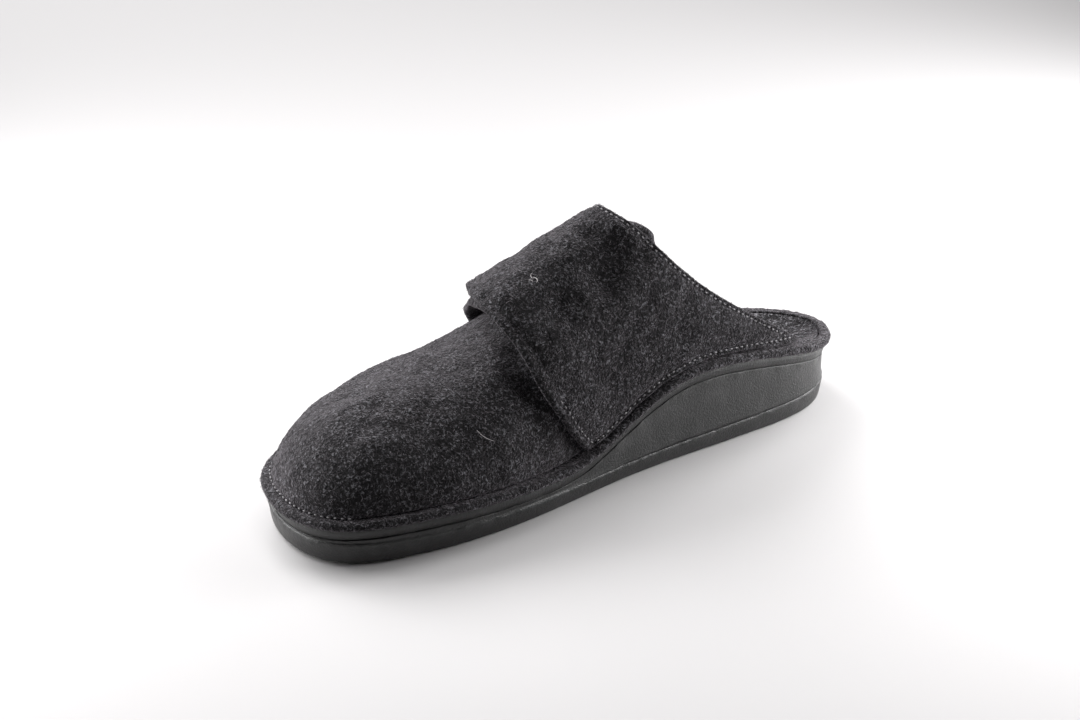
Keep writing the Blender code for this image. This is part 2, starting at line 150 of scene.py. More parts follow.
# Sections of the upper's inside from collar to toe, in mm and shares of the driving dimensions
UpperRow = namedtuple("UpperRow", "u inset crest_x crest_y crest_z full_medial full_lateral")
UPPER_ROWS = [
    UpperRow(0.00, 5.5, 0.406, 0.00, 1.012, 2.25, 2.15),
    UpperRow(0.20, 5.5, 0.472, 0.01, 0.886, 2.20, 2.15),
    UpperRow(0.40, 5.2, 0.556, 0.03, 0.732, 2.10, 2.10),
    UpperRow(0.55, 3.8, 0.639, 0.04, 0.618, 2.10, 2.10),
    UpperRow(0.70, 3.3, 0.722, 0.05, 0.556, 2.12, 2.04),
    UpperRow(0.85, 4.0, 0.795, 0.06, 0.532, 2.08, 1.92),
    UpperRow(1.00, 4.2, 0.840, 0.06, 0.522, 1.92, 1.92),
]

# Collar line of both sides: v from foot to crest, and u there
CollarRow = namedtuple("CollarRow", "v u")
COLLAR_ROWS = [
    CollarRow(0.00, 0.010),
    CollarRow(0.14, 0.018),
    CollarRow(0.30, 0.023),
    CollarRow(0.52, 0.012),
    CollarRow(0.75, -0.016),
    CollarRow(1.00, -0.018),
]

# Edges of the two flaps: v along the flap, and u of its back and front edge there
FlapRow = namedtuple("FlapRow", "v back front")
STRAP_ROWS = [
    FlapRow(0.00, -0.010, 0.418),
    FlapRow(0.14, 0.010, 0.446),
    FlapRow(0.30, 0.021, 0.468),
    FlapRow(0.52, 0.012, 0.495),
    FlapRow(0.75, -0.014, 0.508),
    FlapRow(1.00, -0.018, 0.518),
    FlapRow(1.25, -0.012, 0.474),
    FlapRow(1.45, 0.010, 0.450),
    FlapRow(1.56, 0.045, 0.425),
    FlapRow(1.62, 0.100, 0.370),
]
PANEL_ROWS = [
    FlapRow(PANEL_TOP, 0.030, 0.470),
    FlapRow(0.96, 0.010, 0.494),
    FlapRow(1.10, -0.002, 0.500),
    FlapRow(1.30, -0.022, 0.490),
    FlapRow(1.39, -0.030, 0.482),
    FlapRow(1.47, -0.058, 0.473),
    FlapRow(1.54, -0.062, 0.464),
    FlapRow(1.60, -0.038, 0.455),
    FlapRow(1.72, -0.005, 0.440),
    FlapRow(2.00, 0.010, 0.415),
]

# Soft folds of the felt: a line on the surface from (u, v) to (u_end, v_end), how wide it is and how deep,
# in mm. A depth below zero is a trough, above zero a ridge.
Crease = namedtuple("Crease", "u v u_end v_end width depth")
UPPER_CREASES = [
    Crease(0.505, 0.30, 0.505, 0.78, 7.0, -1.6),
    Crease(0.560, 0.66, 0.545, 0.95, 6.0, 0.8),
    Crease(0.640, 0.45, 0.760, 0.62, 12.0, -0.8),
    Crease(0.700, 0.20, 0.900, 0.30, 9.0, -0.6),
    Crease(0.480, 1.42, 0.550, 1.48, 14.0, -1.7),
    Crease(0.660, 1.54, 0.740, 1.56, 13.0, 1.1),
    Crease(0.820, 1.87, 0.960, 1.87, 9.0, -0.9),
]
STRAP_CREASES = [
    Crease(0.070, 0.72, 0.195, 0.72, 9.0, -3.2),
    Crease(0.195, 0.72, 0.350, 0.735, 10.0, -2.8),
    Crease(0.350, 0.735, 0.480, 0.77, 9.0, -1.8),
    Crease(0.030, 0.00, 0.400, 0.00, 2.6, 0.9),
    Crease(0.030, 0.77, 0.030, 0.86, 5.0, 2.6),
    Crease(0.110, 0.84, 0.110, 0.92, 5.0, -1.4),
    Crease(-0.015, 0.88, -0.015, 0.99, 6.0, 1.4),
    Crease(-0.016, 1.08, -0.016, 1.16, 5.0, -1.7),
    Crease(0.060, 1.06, 0.200, 1.04, 12.0, 0.9),
    Crease(0.120, 1.00, 0.440, 1.00, 14.0, 1.2),
    Crease(0.450, 0.345, 0.478, 0.60, 1.6, -0.7),
    Crease(0.478, 0.60, 0.494, 0.98, 1.6, -0.7),
    Crease(0.120, 0.45, 0.400, 0.52, 11.0, 0.9),
    Crease(0.150, 0.22, 0.330, 0.24, 9.0, -0.7),
    Crease(0.120, 1.25, 0.420, 1.22, 9.0, -0.8),
]
PANEL_CREASES = [
    Crease(0.150, 1.72, 0.330, 1.74, 9.0, -0.7),
    Crease(0.120, 1.55, 0.380, 1.50, 11.0, 0.7),
    Crease(0.485, 1.06, 0.485, 1.22, 5.0, 2.2),
]

# Sewn rows on the flaps: the edge that a row follows, where it starts and ends along it, and its distance
# from the edge. A back or front row runs in v with its distance in u, a foot row in u with its distance in v.
Seam = namedtuple("Seam", "edge start end inset")
STRAP_SEAMS = [
    Seam("foot", 0.004, 0.404, 0.024),
    Seam("front", 0.024, 0.345, -0.017),
    Seam("back", 0.030, 1.545, 0.017),
    Seam("front", 1.250, 1.540, -0.017),
]
PANEL_SEAMS = [
    Seam("foot", 0.018, 0.400, 1.976),
    Seam("back", 1.660, 1.970, 0.017),
    Seam("front", 1.640, 1.976, -0.017),
]
SEAM_POINTS = 60
SEAM_WIDTH = 1.2 * MM
SEAM_DEPTH = 0.80 * MM

# Row round the toe: where it starts and ends on both sides, its points to the tip, and how far it stands
# out from the upper's foot and above it
TOE_ROW_START = 0.80
TOE_ROW_POINTS = 160
TOE_ROW_OUT = 0.1 * MM
TOE_ROW_UP = 0.35 * MM

# One stitch: how far it bows out of the felt, how high it sits, and how much of that varies
STITCH_BOW = 0.25 * MM
STITCH_LIFT = 0.12 * MM
STITCH_SINK = 0.06 * MM

# Hairs of lint that cling to the felt: the part that each lies on, where it starts, its heading in degrees
# from toeward towards the crest, its length in mm, and how far it turns on its way, in degrees
Lint = namedtuple("Lint", "part u v heading length turn")
LINT = [
    Lint("upper", 0.603, 0.455, 258, 10.0, -45),
    Lint("strap", 0.372, 0.890, 120, 6.0, -190),
    Lint("strap", 0.366, 0.905, 200, 5.0, 150),
    Lint("strap", 0.360, 0.900, 60, 4.0, 120),
]
LINT_THICKNESS = 0.26 * MM
LINT_LIFT = 0.45 * MM
LINT_POINTS = 25
LINT_COLOUR = (0.50, 0.475, 0.48)

# Loose fibres of the nap: the arch that each has, how far the boldest stand up, and how deep the roots lie;
# the shortest one, how much longer the longest is, and how far they curl sideways, in shares of the mean
# length; and the places along a fibre, with its share of the thickness at each
NAP_ARCH = 0.12 * MM
NAP_STAND = 0.28 * MM
NAP_ROOT = 0.03 * MM
NAP_SHORTEST = 0.45
NAP_SPREAD = 1.1
NAP_CURL = 0.55
NAP_WAY = [0.0, 0.33, 0.67, 1.0]
NAP_TAPER = [0.0, 1.0, 0.8, 0.0]

# Density of the new meshes: steps along each half of the sole, up its sides and across its caps, and the
# spacing of points over the felt
SOLE_STEPS = 300
SIDE_STEPS = {"outsole": 26, "wedge": 24, "lip": 26, "footbed": 12, "rand": 36}
ACROSS_STEPS = {"tread": 60, "hidden": 8, "dish": 12, "footbed": 80}
CREASE_STEPS = 9
FELT_STEP = 0.0010
RIM = 0.0014
RIM_STEPS = 5

# Nominal lengths of the felt parts along u and over v, by which their points are spaced
UPPER_SIZE = (0.140, 0.180)
STRAP_SIZE = (0.075, 0.150)
PANEL_SIZE = (0.075, 0.100)

# Unevenness of each material: height, and shortest and longest wave
Uneven = namedtuple("Uneven", "height shortest longest")
FELT_WAVES = Uneven(0.00030, 0.009, 0.030)
FELT_LUMPS = Uneven(0.00010, 0.004, 0.008)
RAND_WAVES = Uneven(0.00013, 0.004, 0.018)
FLASH_WAVES = Uneven(0.00016, 0.003, 0.012)
MOULD_WAVES = Uneven(0.00006, 0.010, 0.040)
WAVE_COUNT = 24

# First seed of each piece's random draws; a piece with several draws counts on from it
SEEDS = {
    "outsole": 11,
    "midsole": 21,
    "footbed": 31,
    "rand": 41,
    "upper": 51,
    "panel": 61,
    "strap": 71,
    "stitches": 81,
}

# Underside: depth, pitch and sweep of the tread's grooves, and the plain border round them
TREAD_DEPTH = 0.0013
TREAD_PITCH = 0.0090
TREAD_SWEEP = 0.35
TREAD_BORDER = 0.009

# Camera, fitted to the outline in the photo, whose frame is 1080 x 720, and the floor just below the sole
AZIMUTH = radians(149.0)
ELEVATION = radians(27.5)
DISTANCE = 1.01537
AIM = Vector((-0.00208, -0.01897, 0.03615))
LENS = 73.33
SENSOR = 36.0
FLOOR_LEVEL = -0.0002

# Soft boxes: azimuth in degrees, from the right of the picture over the back to its left, elevation in
# degrees above the floor, distance and width in metres, power in watts
SoftBox = namedtuple("SoftBox", "name azimuth elevation distance width power")
SOFT_BOXES = [
    SoftBox("left front box", 196, 14, 0.6, 0.35, 1.9),
    SoftBox("left box", 170, 28, 0.45, 0.30, 2.7),
    SoftBox("rear left box", 124, 42, 1.8, 1.0, 33.0),
    SoftBox("top box", 90, 78, 1.8, 1.0, 12.0),
    SoftBox("rear right box", 32, 25, 0.6, 0.35, 3.4),
    SoftBox("right box", 5, 17, 0.45, 0.30, 2.7),
]


def smooth_table(rows, at):
    """The rows read at places in their first column, by cubics with the slopes of the neighbouring rows.

    Past either end the curve runs on straight.
    """
    table = np.array(rows, dtype=float)
    places = table[:, 0]
    slopes = np.gradient(table, places, axis=0)
    at = np.asarray(at, dtype=float)
    index = np.clip(np.searchsorted(places, at) - 1, 0, len(places) - 2)
    span = (places[index + 1] - places[index])[..., None]
    within = np.clip(at, places[0], places[-1])
    part = (within - places[index])[..., None] / span
    change = table[index + 1] - table[index]
    start = slopes[index] * span - change
    finish = change - slopes[index + 1] * span
    curve = table[index] + part * change + part * (1 - part) * ((1 - part) * start + part * finish)
    past = (at - within)[..., None]
    return curve + past * np.where(past < 0, slopes[0], slopes[-1])


def smooth_step(low, high, value):
    """0 below low, 1 above high, and a smooth rise between them."""
    share = np.clip((value - low) / (high - low), 0.0, 1.0)
    return share * share * (3 - 2 * share)


def unit(vectors):
    """Vectors scaled to length 1."""
    return vectors / np.linalg.norm(vectors, axis=-1, keepdims=True)


def closed_rows():
    """The sole's rows as one closed line: heel, medial side, toe, lateral side, all in metres."""

    def point(row, side, lip):
        heights = [row.ridge * ARCH_HEIGHT, lip * ARCH_HEIGHT, row.dish * ARCH_HEIGHT]
        return [row.station * SOLE_LENGTH, side * BALL_WIDTH] + heights + [row.seat * BALL_WIDTH]

    medial = [point(row, row.medial, row.lip_medial) for row in SOLE_ROWS]
    lateral = [point(row, -row.lateral, row.lip_lateral) for row in SOLE_ROWS[-2:0:-1]]
    return np.array(medial + lateral)


def around(at):
    """The closed line at row numbers at, where TOE is the tip of the toe.

    Gives x, y, ridge, lip, dish and seat there, and the outward normal in plan. It is a periodic cubic
    spline: the slope at each row is found from the condition that curvature is continuous.
    """
    rows = closed_rows()
    count = len(rows)
    same = np.eye(count)
    weights = 4 * same + np.roll(same, 1, axis=0) + np.roll(same, -1, axis=0)
    slopes = np.linalg.solve(weights, 3 * (np.roll(rows, -1, axis=0) - np.roll(rows, 1, axis=0)))
    at = np.asarray(at, dtype=float)
    low = np.floor(at).astype(int)
    part = (at - low)[..., None]
    here = rows[low % count]
    change = rows[(low + 1) % count] - here
    start = slopes[low % count] - change
    finish = change - slopes[(low + 1) % count]
    bend = (1 - part) * start + part * finish
    values = here + part * change + part * (1 - part) * bend
    speed = change + (1 - 2 * part) * bend + part * (1 - part) * (finish - start)
    normal = unit(np.stack([-speed[..., 1], speed[..., 0]], axis=-1))
    return values, normal


def arc_length(points):
    """Length along a line of points, from 0 at its first one."""
    steps = np.linalg.norm(np.diff(points, axis=0), axis=1)
    return np.concatenate([[0.0], np.cumsum(steps)])


def even_rows():
    """Row numbers round the sole: SOLE_STEPS even steps along the medial edge, and back by the same rows."""
    fine = np.linspace(0, TOE, 50 * TOE + 1)
    length = arc_length(around(fine)[0][:, :2])
    half = np.interp(np.linspace(0, length[-1], SOLE_STEPS + 1), length, fine)
    return np.concatenate([half, 2 * TOE - half[-2:0:-1]])


RING, RING_NORMAL = around(even_rows())
RING_COUNT = len(RING)
RIDGE = RING[:, 2]
LIP = RING[:, 3]
DISH = RING[: SOLE_STEPS + 1, 4, None]
SEAT = RING[:, 5]
PAST_SPRING_START = (RING[:, 0] / SOLE_LENGTH - SPRING_START) / (1 - SPRING_START)
LIFT = TOE_SPRING * np.maximum(PAST_SPRING_START, 0.0) ** SPRING_POWER


def frame_shift():
    """From the tables' origin to the frame's: the way between the middles of both felt rings in plan."""
    line = RING[:, :2] + RING_NORMAL * max(outset for outset, height in RAND_SIDE) * MM
    own = (line.min(axis=0) + line.max(axis=0)) / 2
    low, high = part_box("rand")
    middle = (low + high) / 2
    return np.array([middle.x - own[0], middle.y - own[1], 0.0])


SHIFT = frame_shift()


def inside(u, v):
    """The inner surface of the upper.

    Each line from foot to crest is a superellipse: its sideways share is 1 - cos(t)^p and its height
    share sin(t)^p, with t from 0 to a quarter turn and p = 2 / fullness. Behind the ball the line leans
    forward with its height, along the collar; towards the toe it fans out from the crest's end, where
    it keeps the crest's own slope.
    """
    u, v = np.broadcast_arrays(np.asarray(u, dtype=float), np.asarray(v, dtype=float))
    row = COLLAR + u * (TOE - COLLAR)
    lateral = v > 1
    foot, normal = around(np.where(lateral, 2 * TOE - row, row))
    section = smooth_table(UPPER_ROWS, u)
    change = smooth_table(UPPER_ROWS, u + SHORT_STEP) - smooth_table(UPPER_ROWS, u - SHORT_STEP)
    slope = change[..., 4] * INSTEP_HEIGHT / (change[..., 2] * SOLE_LENGTH)
    inset = section[..., 1] * MM
    crest_x = section[..., 2] * SOLE_LENGTH
    crest_y = section[..., 3] * BALL_WIDTH
    crest_z = section[..., 4] * INSTEP_HEIGHT
    foot_x = foot[..., 0] - normal[..., 0] * inset
    foot_y = foot[..., 1] - normal[..., 1] * inset
    foot_z = foot[..., 3] + GAP + RAND_TOP + GAP
    turn = np.clip(np.where(lateral, 2 - v, v), 0, 1) * pi / 2
    power = 2 / np.where(lateral, section[..., 6], section[..., 5])
    sideways = 1 - np.cos(turn).clip(0) ** power
    height = np.sin(turn).clip(0) ** power
    fan = smooth_step(FAN_START, FAN_END, u)
    forward = height + (sideways - height) * fan
    ramp = slope * (crest_x - foot_x) * fan
    x = foot_x + (crest_x - foot_x) * forward
    y = foot_y + (crest_y - foot_y) * sideways
    z = foot_z + ramp * sideways + (crest_z - foot_z - ramp) * height
    return np.stack([x, y, z], axis=-1) + SHIFT


def side_normal(u, v):
    """Unit normal of the upper's inner surface, by short steps on the point's own side of the crest."""
    ahead = np.minimum(u + SHORT_STEP, 1.0)
    along = inside(ahead, v) - inside(ahead - 2 * SHORT_STEP, v)
    lowest = np.where(v > 1, 1.0, 0.0)
    over = inside(u, np.minimum(v + SHORT_STEP, lowest + 1)) - inside(u, np.maximum(v - SHORT_STEP, lowest))
    return unit(np.cross(over, along))


def outward(u, v):
    """Unit normal of the upper's inner surface, out of the shoe.

    Over the crest one side's normal turns into the other's.
    """
    u, v = np.broadcast_arrays(np.asarray(u, dtype=float), np.asarray(v, dtype=float))
    medial = side_normal(u, np.clip(v, EDGE_BAND, 1 - EDGE_BAND))
    lateral = side_normal(u, np.clip(v, 1 + EDGE_BAND, 2 - EDGE_BAND))
    share = smooth_step(1 - CREST_BAND, 1 + CREST_BAND, v)[..., None]
    return unit(medial + (lateral - medial) * share)


def stitched(u, v, outset, clearance=0.0):
    """The surface that the felt parts are cut from: the upper's inside moved out by outset.

    Towards both feet the points come to the felt ring's height, plus any clearance.
    """
    u, v = np.broadcast_arrays(np.asarray(u, dtype=float), np.asarray(v, dtype=float))
    move = outward(u, v) * np.broadcast_to(outset, u.shape)[..., None]
    clear_of_foot = smooth_step(0.0, FOOT_BAND, np.minimum(v, 2 - v))
    move[..., 2] = move[..., 2] * clear_of_foot + clearance * (1 - clear_of_foot)
    return inside(u, v) + move


def rise(u, v, front_rise):
    """How far a flap stands off the upper: nothing at its sewn sides, most over the crest in front."""
    girth = smooth_step(RISE_START, 1.0, np.minimum(v, 2 - v))
    return girth * (COLLAR_RISE + (front_rise - COLLAR_RISE) * smooth_step(0.0, RISE_END, u))


def panel_outset(u, v):
    """The closing panel lies straight on the upper."""
    return FELT + GAP + rise(u, v, PANEL_FRONT_RISE)


def strap_outset(u, v):
    """The strap lies on the upper at the medial side, and over the panel from just before the crest on."""
    over_panel = smooth_step(CLIMB_START, CLIMB_END, v) * (FELT + GAP)
    return FELT + GAP + over_panel + rise(u, v, STRAP_FRONT_RISE)


def ripple(points, uneven, seed):
    """Uneven ground: plane waves of seeded directions, lengths and phases, added up and scaled."""
    rng = np.random.default_rng(seed)
    direction = unit(rng.normal(size=(WAVE_COUNT, 3)))
    length = uneven.shortest * (uneven.longest / uneven.shortest) ** rng.random(WAVE_COUNT)
    phase = rng.random(WAVE_COUNT) * 2 * pi
    waves = np.sin(points @ (direction * (2 * pi / length)[:, None]).T + phase)
    return uneven.height * waves.sum(axis=-1) / WAVE_COUNT ** 0.5


def trough(points, line, width):
    """1 on a line of points and less beside it, as exp(-(distance / width)^2)."""
    nearest = np.full(points.shape[:-1], np.inf)
    for start, end in zip(line, line[1:]):
        way = end - start
        share = np.clip((points - start) @ way / (way @ way), 0.0, 1.0)
        nearest = np.minimum(nearest, ((points - start - share[..., None] * way) ** 2).sum(axis=-1))
    return np.exp(-nearest / width**2)


class Shape:
    """Points and faces of one piece, gathered grid by grid."""

    def __init__(self):
        self.points = np.empty((0, 3))
        self.faces = np.empty((0, 4), dtype=int)

    def add_points(self, points):
        """Keeps a grid of points and gives their numbers on the same grid."""
        numbers = len(self.points) + np.arange(points[..., 0].size).reshape(points.shape[:-1])
        self.points = np.concatenate([self.points, points.reshape(-1, 3)])
        return numbers

    def add_faces(self, numbers):
        """Four-sided faces over the last two axes of a grid of point numbers."""
        corners = [numbers[..., :-1, :-1], numbers[..., :-1, 1:], numbers[..., 1:, 1:], numbers[..., 1:, :-1]]
        self.faces = np.concatenate([self.faces, np.stack(corners, axis=-1).reshape(-1, 4)])

    def add_band(self, numbers):
        """Faces over rings of point numbers, each ring closed."""
        self.add_faces(np.concatenate([numbers, numbers[..., :1]], axis=-1))

    def add_cap(self, edge, count, sink):
        """Closes a ring of the sole by a grid across it, from the medial to the lateral edge.

        count is the steps across, and sink(grid, share) gives how far the points lie below the straight
        line between both edges, for share from 0 to 1 across. At heel and toe the grid runs into one point.
        """
        lateral_edge = edge[-np.arange(SOLE_STEPS + 1)]
        medial_edge = edge[: SOLE_STEPS + 1]
        medial = self.points[medial_edge][:, None]
        lateral = self.points[lateral_edge][:, None]
        share = np.linspace(0, 1, count + 1)
        grid = medial + (lateral - medial) * share[:, None]
        grid[..., 2] -= sink(grid, share)
        numbers = self.add_points(grid)
        numbers[:, 0] = medial_edge
        numbers[:, -1] = lateral_edge
        numbers[0] = edge[0]
        numbers[-1] = edge[SOLE_STEPS]
        self.add_faces(numbers)
        return grid

    def mesh(self, name, turn_outwards=True):
        """The gathered faces as a mesh: repeated corners and unused points are left out."""
        keep = self.faces != np.roll(self.faces, -1, axis=1)
        whole = keep.sum(axis=1) > 2
        corners = self.faces[whole][keep[whole]]
        totals = keep[whole].sum(axis=1)
        used, corners = np.unique(corners, return_inverse=True)
        mesh = bpy.data.meshes.new(name)
        mesh.vertices.add(len(used))
        mesh.vertices.foreach_set("co", self.points[used].astype(np.float32).ravel())
        mesh.loops.add(len(corners))
        mesh.loops.foreach_set("vertex_index", corners.astype(np.int32).ravel())
        mesh.polygons.add(len(totals))
        starts = np.concatenate([[0], np.cumsum(totals)[:-1]])
        mesh.polygons.foreach_set("loop_start", starts.astype(np.int32))
        mesh.update(calc_edges=True)
        mesh.validate()
        if turn_outwards:
            turned = bmesh.new()
            turned.from_mesh(mesh)
            bmesh.ops.recalc_face_normals(turned, faces=turned.faces)
            turned.to_mesh(mesh)
            turned.free()
        mesh.shade_smooth()
        return mesh


def add_piece(name, mesh, material, node=None):
    """Puts a mesh into the scene as a piece of the shoe, in place of a solid if a node is named."""
    piece = bpy.data.objects.new(name, mesh)
    mesh.materials.append(material)
    bpy.context.scene.collection.objects.link(piece)
    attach(piece, "root")
    if node:
        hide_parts(node)


def refined(profile, count):
    """Both columns of a profile, joined by a smooth curve and read at count places along it."""
    rows = np.column_stack([np.arange(len(profile)), profile])
    table = smooth_table(rows, np.linspace(0, len(profile) - 1, count))
    return table[:, 1, None], table[:, 2, None]


def rings(outset, height):
    """Rings round the shoe, one for each row: the plan line moved out by outset, at the given height."""
    outset, height = np.broadcast_arrays(outset, height)
    outset, height = (np.broadcast_to(values, (len(values), RING_COUNT)) for values in (outset, height))
    flat = RING[:, :2] + RING_NORMAL * outset[..., None]
    return np.concatenate([flat, height[..., None]], axis=-1) + SHIFT


def along_edge(uneven, seed):
    """Unevenness along the sole's edge, one value for each point of its rings."""
    flat = np.column_stack([RING[:, :2], np.zeros(RING_COUNT)])
    return ripple(flat, uneven, seed)


def flat_cap(grid, share):
    """A cap that isn't sunk."""
    return 0.0


def dished_cap(grid, share):
    """The footbed's dish: its depth times 1 - w squared, where w runs from -1 to 1 across."""
    return DISH * (1 - (2 * share - 1) ** 2)


def tread_cap(grid, share):
    """Swept grooves across the underside, inside a plain border.

    A groove is where the cosine of x less a share of the distance from the middle is high.
    """
    middle = (grid[:, :1] + grid[:, -1:]) / 2
    from_middle = np.abs(grid[..., 1] - middle[..., 1])
    half = np.abs(grid[:, :1, 1] - middle[..., 1])
    wave = np.cos(2 * pi * (grid[..., 0] - TREAD_SWEEP * from_middle) / TREAD_PITCH)
    from_tips = np.minimum(grid[..., 0] - grid[0, 0, 0], grid[-1, 0, 0] - grid[..., 0])
    within = smooth_step(0.5, 1.0, np.minimum(half - from_middle, from_tips) / TREAD_BORDER)
    return -TREAD_DEPTH * smooth_step(0.30, 0.75, wave) * within


def build_outsole(look):
    """The tread layer: its profile carried round the plan line, with a slightly uneven ridge."""
    seed = SEEDS["outsole"]
    outset, share = refined(OUTSOLE_SIDE, SIDE_STEPS["outsole"])
    ragged = along_edge(FLASH_WAVES, seed) * smooth_step(0.55, 0.90, share)
    wobble = ragged + along_edge(MOULD_WAVES, seed + 1)
    shape = Shape()
    numbers = shape.add_points(rings(outset * MM + wobble, LIFT + (RIDGE - LIFT) * share))
    shape.add_band(numbers)
    shape.add_cap(numbers[0], ACROSS_STEPS["tread"], tread_cap)
    shape.add_cap(numbers[-1], ACROSS_STEPS["hidden"], flat_cap)
    mesh = shape.mesh("rubber_outsole")
    add_piece("rubber_outsole", mesh, rubber_finish(look), "outsole")


def build_midsole(look):
    """The wedge, the groove and the lip: both profiles carried round the plan line, with a dish on top.

    The wedge's top edge is a ragged moulding line, made uneven along the edge.
    """
    seed = SEEDS["midsole"]
    foot = RIDGE - WEDGE_OVERLAP
    wedge_top = LIP - LIP_BAND - GROOVE
    wedge_outset, wedge_share = refined(WEDGE_SIDE, SIDE_STEPS["wedge"])
    lip_outset, lip_share = refined(LIP_SIDE, SIDE_STEPS["lip"])
    ragged = along_edge(FLASH_WAVES, seed) * smooth_step(0.80, 1.0, wedge_share)
    soft = along_edge(MOULD_WAVES, seed + 1)
    side = [
        rings(wedge_outset * MM + ragged + soft, foot + (wedge_top - foot) * wedge_share),
        rings(lip_outset * MM + soft, wedge_top + (LIP - wedge_top) * lip_share),
        rings(-SEAT[None], LIP[None]),
    ]
    shape = Shape()
    numbers = shape.add_points(np.concatenate(side))
    shape.add_band(numbers)
    shape.add_cap(numbers[0], ACROSS_STEPS["hidden"], flat_cap)
    shape.add_cap(numbers[-1], ACROSS_STEPS["dish"], dished_cap)
    add_piece("foam_midsole", shape.mesh("foam_midsole"), foam_finish(look), "midsole")


def build_footbed(look):
    """The felt insole: a rounded edge carried round the plan line, and a dished, slightly uneven top."""
    seed = SEEDS["footbed"]

    def uneven_dish(grid, share):
        inner = smooth_step(0.0, 0.1, np.minimum(share, 1 - share))
        return dished_cap(grid, share) + ripple(grid, FELT_WAVES, seed) * inner

    outset, share = refined(FOOTBED_SIDE, SIDE_STEPS["footbed"])
    shape = Shape()
    height = LIP + GAP + FOOTBED_THICKNESS * share
    numbers = shape.add_points(rings(outset * MM - FOOTBED_PLAY - SEAT, height))
    shape.add_band(numbers)
    top = shape.add_cap(numbers[-1], ACROSS_STEPS["footbed"], uneven_dish)
    shape.add_cap(numbers[0], ACROSS_STEPS["dish"], dished_cap)
    add_piece("felt_footbed", shape.mesh("felt_footbed"), footbed_finish(look), "footbed")
    add_nap("footbed_nap", top, look.nap_count // 4, look, seed + 1)


def build_rand(look):
    """The felt ring: its section carried round the plan line, with an uneven outer edge and top."""
    seed = SEEDS["rand"]
    outset, height = refined(RAND_SIDE, SIDE_STEPS["rand"])
    wobble = along_edge(RAND_WAVES, seed)
    lumps = along_edge(RAND_WAVES, seed + 1) * smooth_step(1.5, 3.5, height)
    foot = LIP + GAP
    outside = rings(outset * MM + wobble, foot + height * MM + lumps)
    inward, below = np.array(RAND_EDGE).T[..., None] * MM
    inset = np.concatenate([SEAT - inward, SEAT[None]])
    inner_height = np.concatenate([RAND_INNER - below, [[0.0]]])
    grid = np.concatenate([outside, rings(-inset, foot + inner_height)])
    shape = Shape()
    numbers = shape.add_points(grid)
    shape.add_band(np.concatenate([numbers, numbers[:1]]))
    add_piece("felt_rand", shape.mesh("felt_rand"), felt_finish(look), "rand")
    visible = grid[4:-1].transpose(1, 0, 2)
    add_nap("rand_nap", visible, look.nap_count // 2, look, seed + 2)


def rounded(distance):
    """How full a sheet is beside a cut edge: a quarter circle, from 0 at the edge to 1 at RIM from it."""
    return np.sqrt(1 - (1 - np.clip(distance / RIM, 0, 1)) ** 2)


def spaced(length, both_ends=True):
    """Places from 0 to 1 across a sheet: close together at a rounded rim, and FELT_STEP apart between.

    The number of places is odd, so that one lies in the middle.
    """
    rim = RIM * (1 - np.cos(np.linspace(0, pi / 2, RIM_STEPS + 1)))
    last = length - RIM if both_ends else length
    count = 2 * round((last - RIM) / FELT_STEP / 2) + 1
    places = [rim[:-1], np.linspace(RIM, last, count)]
    if both_ends:
        places.append(length - rim[-2::-1])
    return np.concatenate(places) / length


def seam_path(rows, seam):
    """Places (u, v) along a sewn row that follows one edge of a flap."""
    run = np.linspace(seam.start, seam.end, SEAM_POINTS)
    if seam.edge == "foot":
        return run, np.full(SEAM_POINTS, seam.inset)
    column = 1 if seam.edge == "back" else 2
    return smooth_table(rows, run)[:, column] + seam.inset, run


def felt_relief(u, v, surface, creases, seam_lines, seed):
    """How far the felt lies above its plain surface: unevenness, soft folds, and the sewn rows' dents."""
    plain = surface(u, v)
    relief = ripple(plain, FELT_WAVES, seed)
    way = np.linspace(0, 1, CREASE_STEPS)
    for crease in creases:
        line_u = crease.u + (crease.u_end - crease.u) * way
        line_v = crease.v + (crease.v_end - crease.v) * way
        dip = trough(plain, surface(line_u, line_v), crease.width * MM)
        relief = relief + crease.depth * MM * dip
    for line_u, line_v in seam_lines:
        relief = relief - SEAM_DEPTH * trough(plain, surface(line_u, line_v), SEAM_WIDTH)
    return relief


def add_sheet(shape, outer, inner, full, fold=False):
    """Both faces of a felt sheet, which meet along its cut edges, where it is not full.

    With fold the last line of both grids is folded at its middle, and its halves are sewn together.
    """
    if fold:
        for grid in (outer, inner):
            grid[-1] = (grid[-1] + grid[-1, ::-1]) / 2
    outer_numbers = shape.add_points(outer)
    inner_numbers = shape.add_points(inner)
    inner_numbers = np.where(full > 0, inner_numbers, outer_numbers)
    for numbers in (outer_numbers, inner_numbers):
        if fold:
            middle = numbers.shape[1] // 2
            numbers[-1, middle + 1 :] = numbers[-1, middle - 1 :: -1]
        shape.add_faces(numbers)


def upper_surface(u, v):
    """The upper's outer face without folds."""
    return stitched(u, v, FELT)


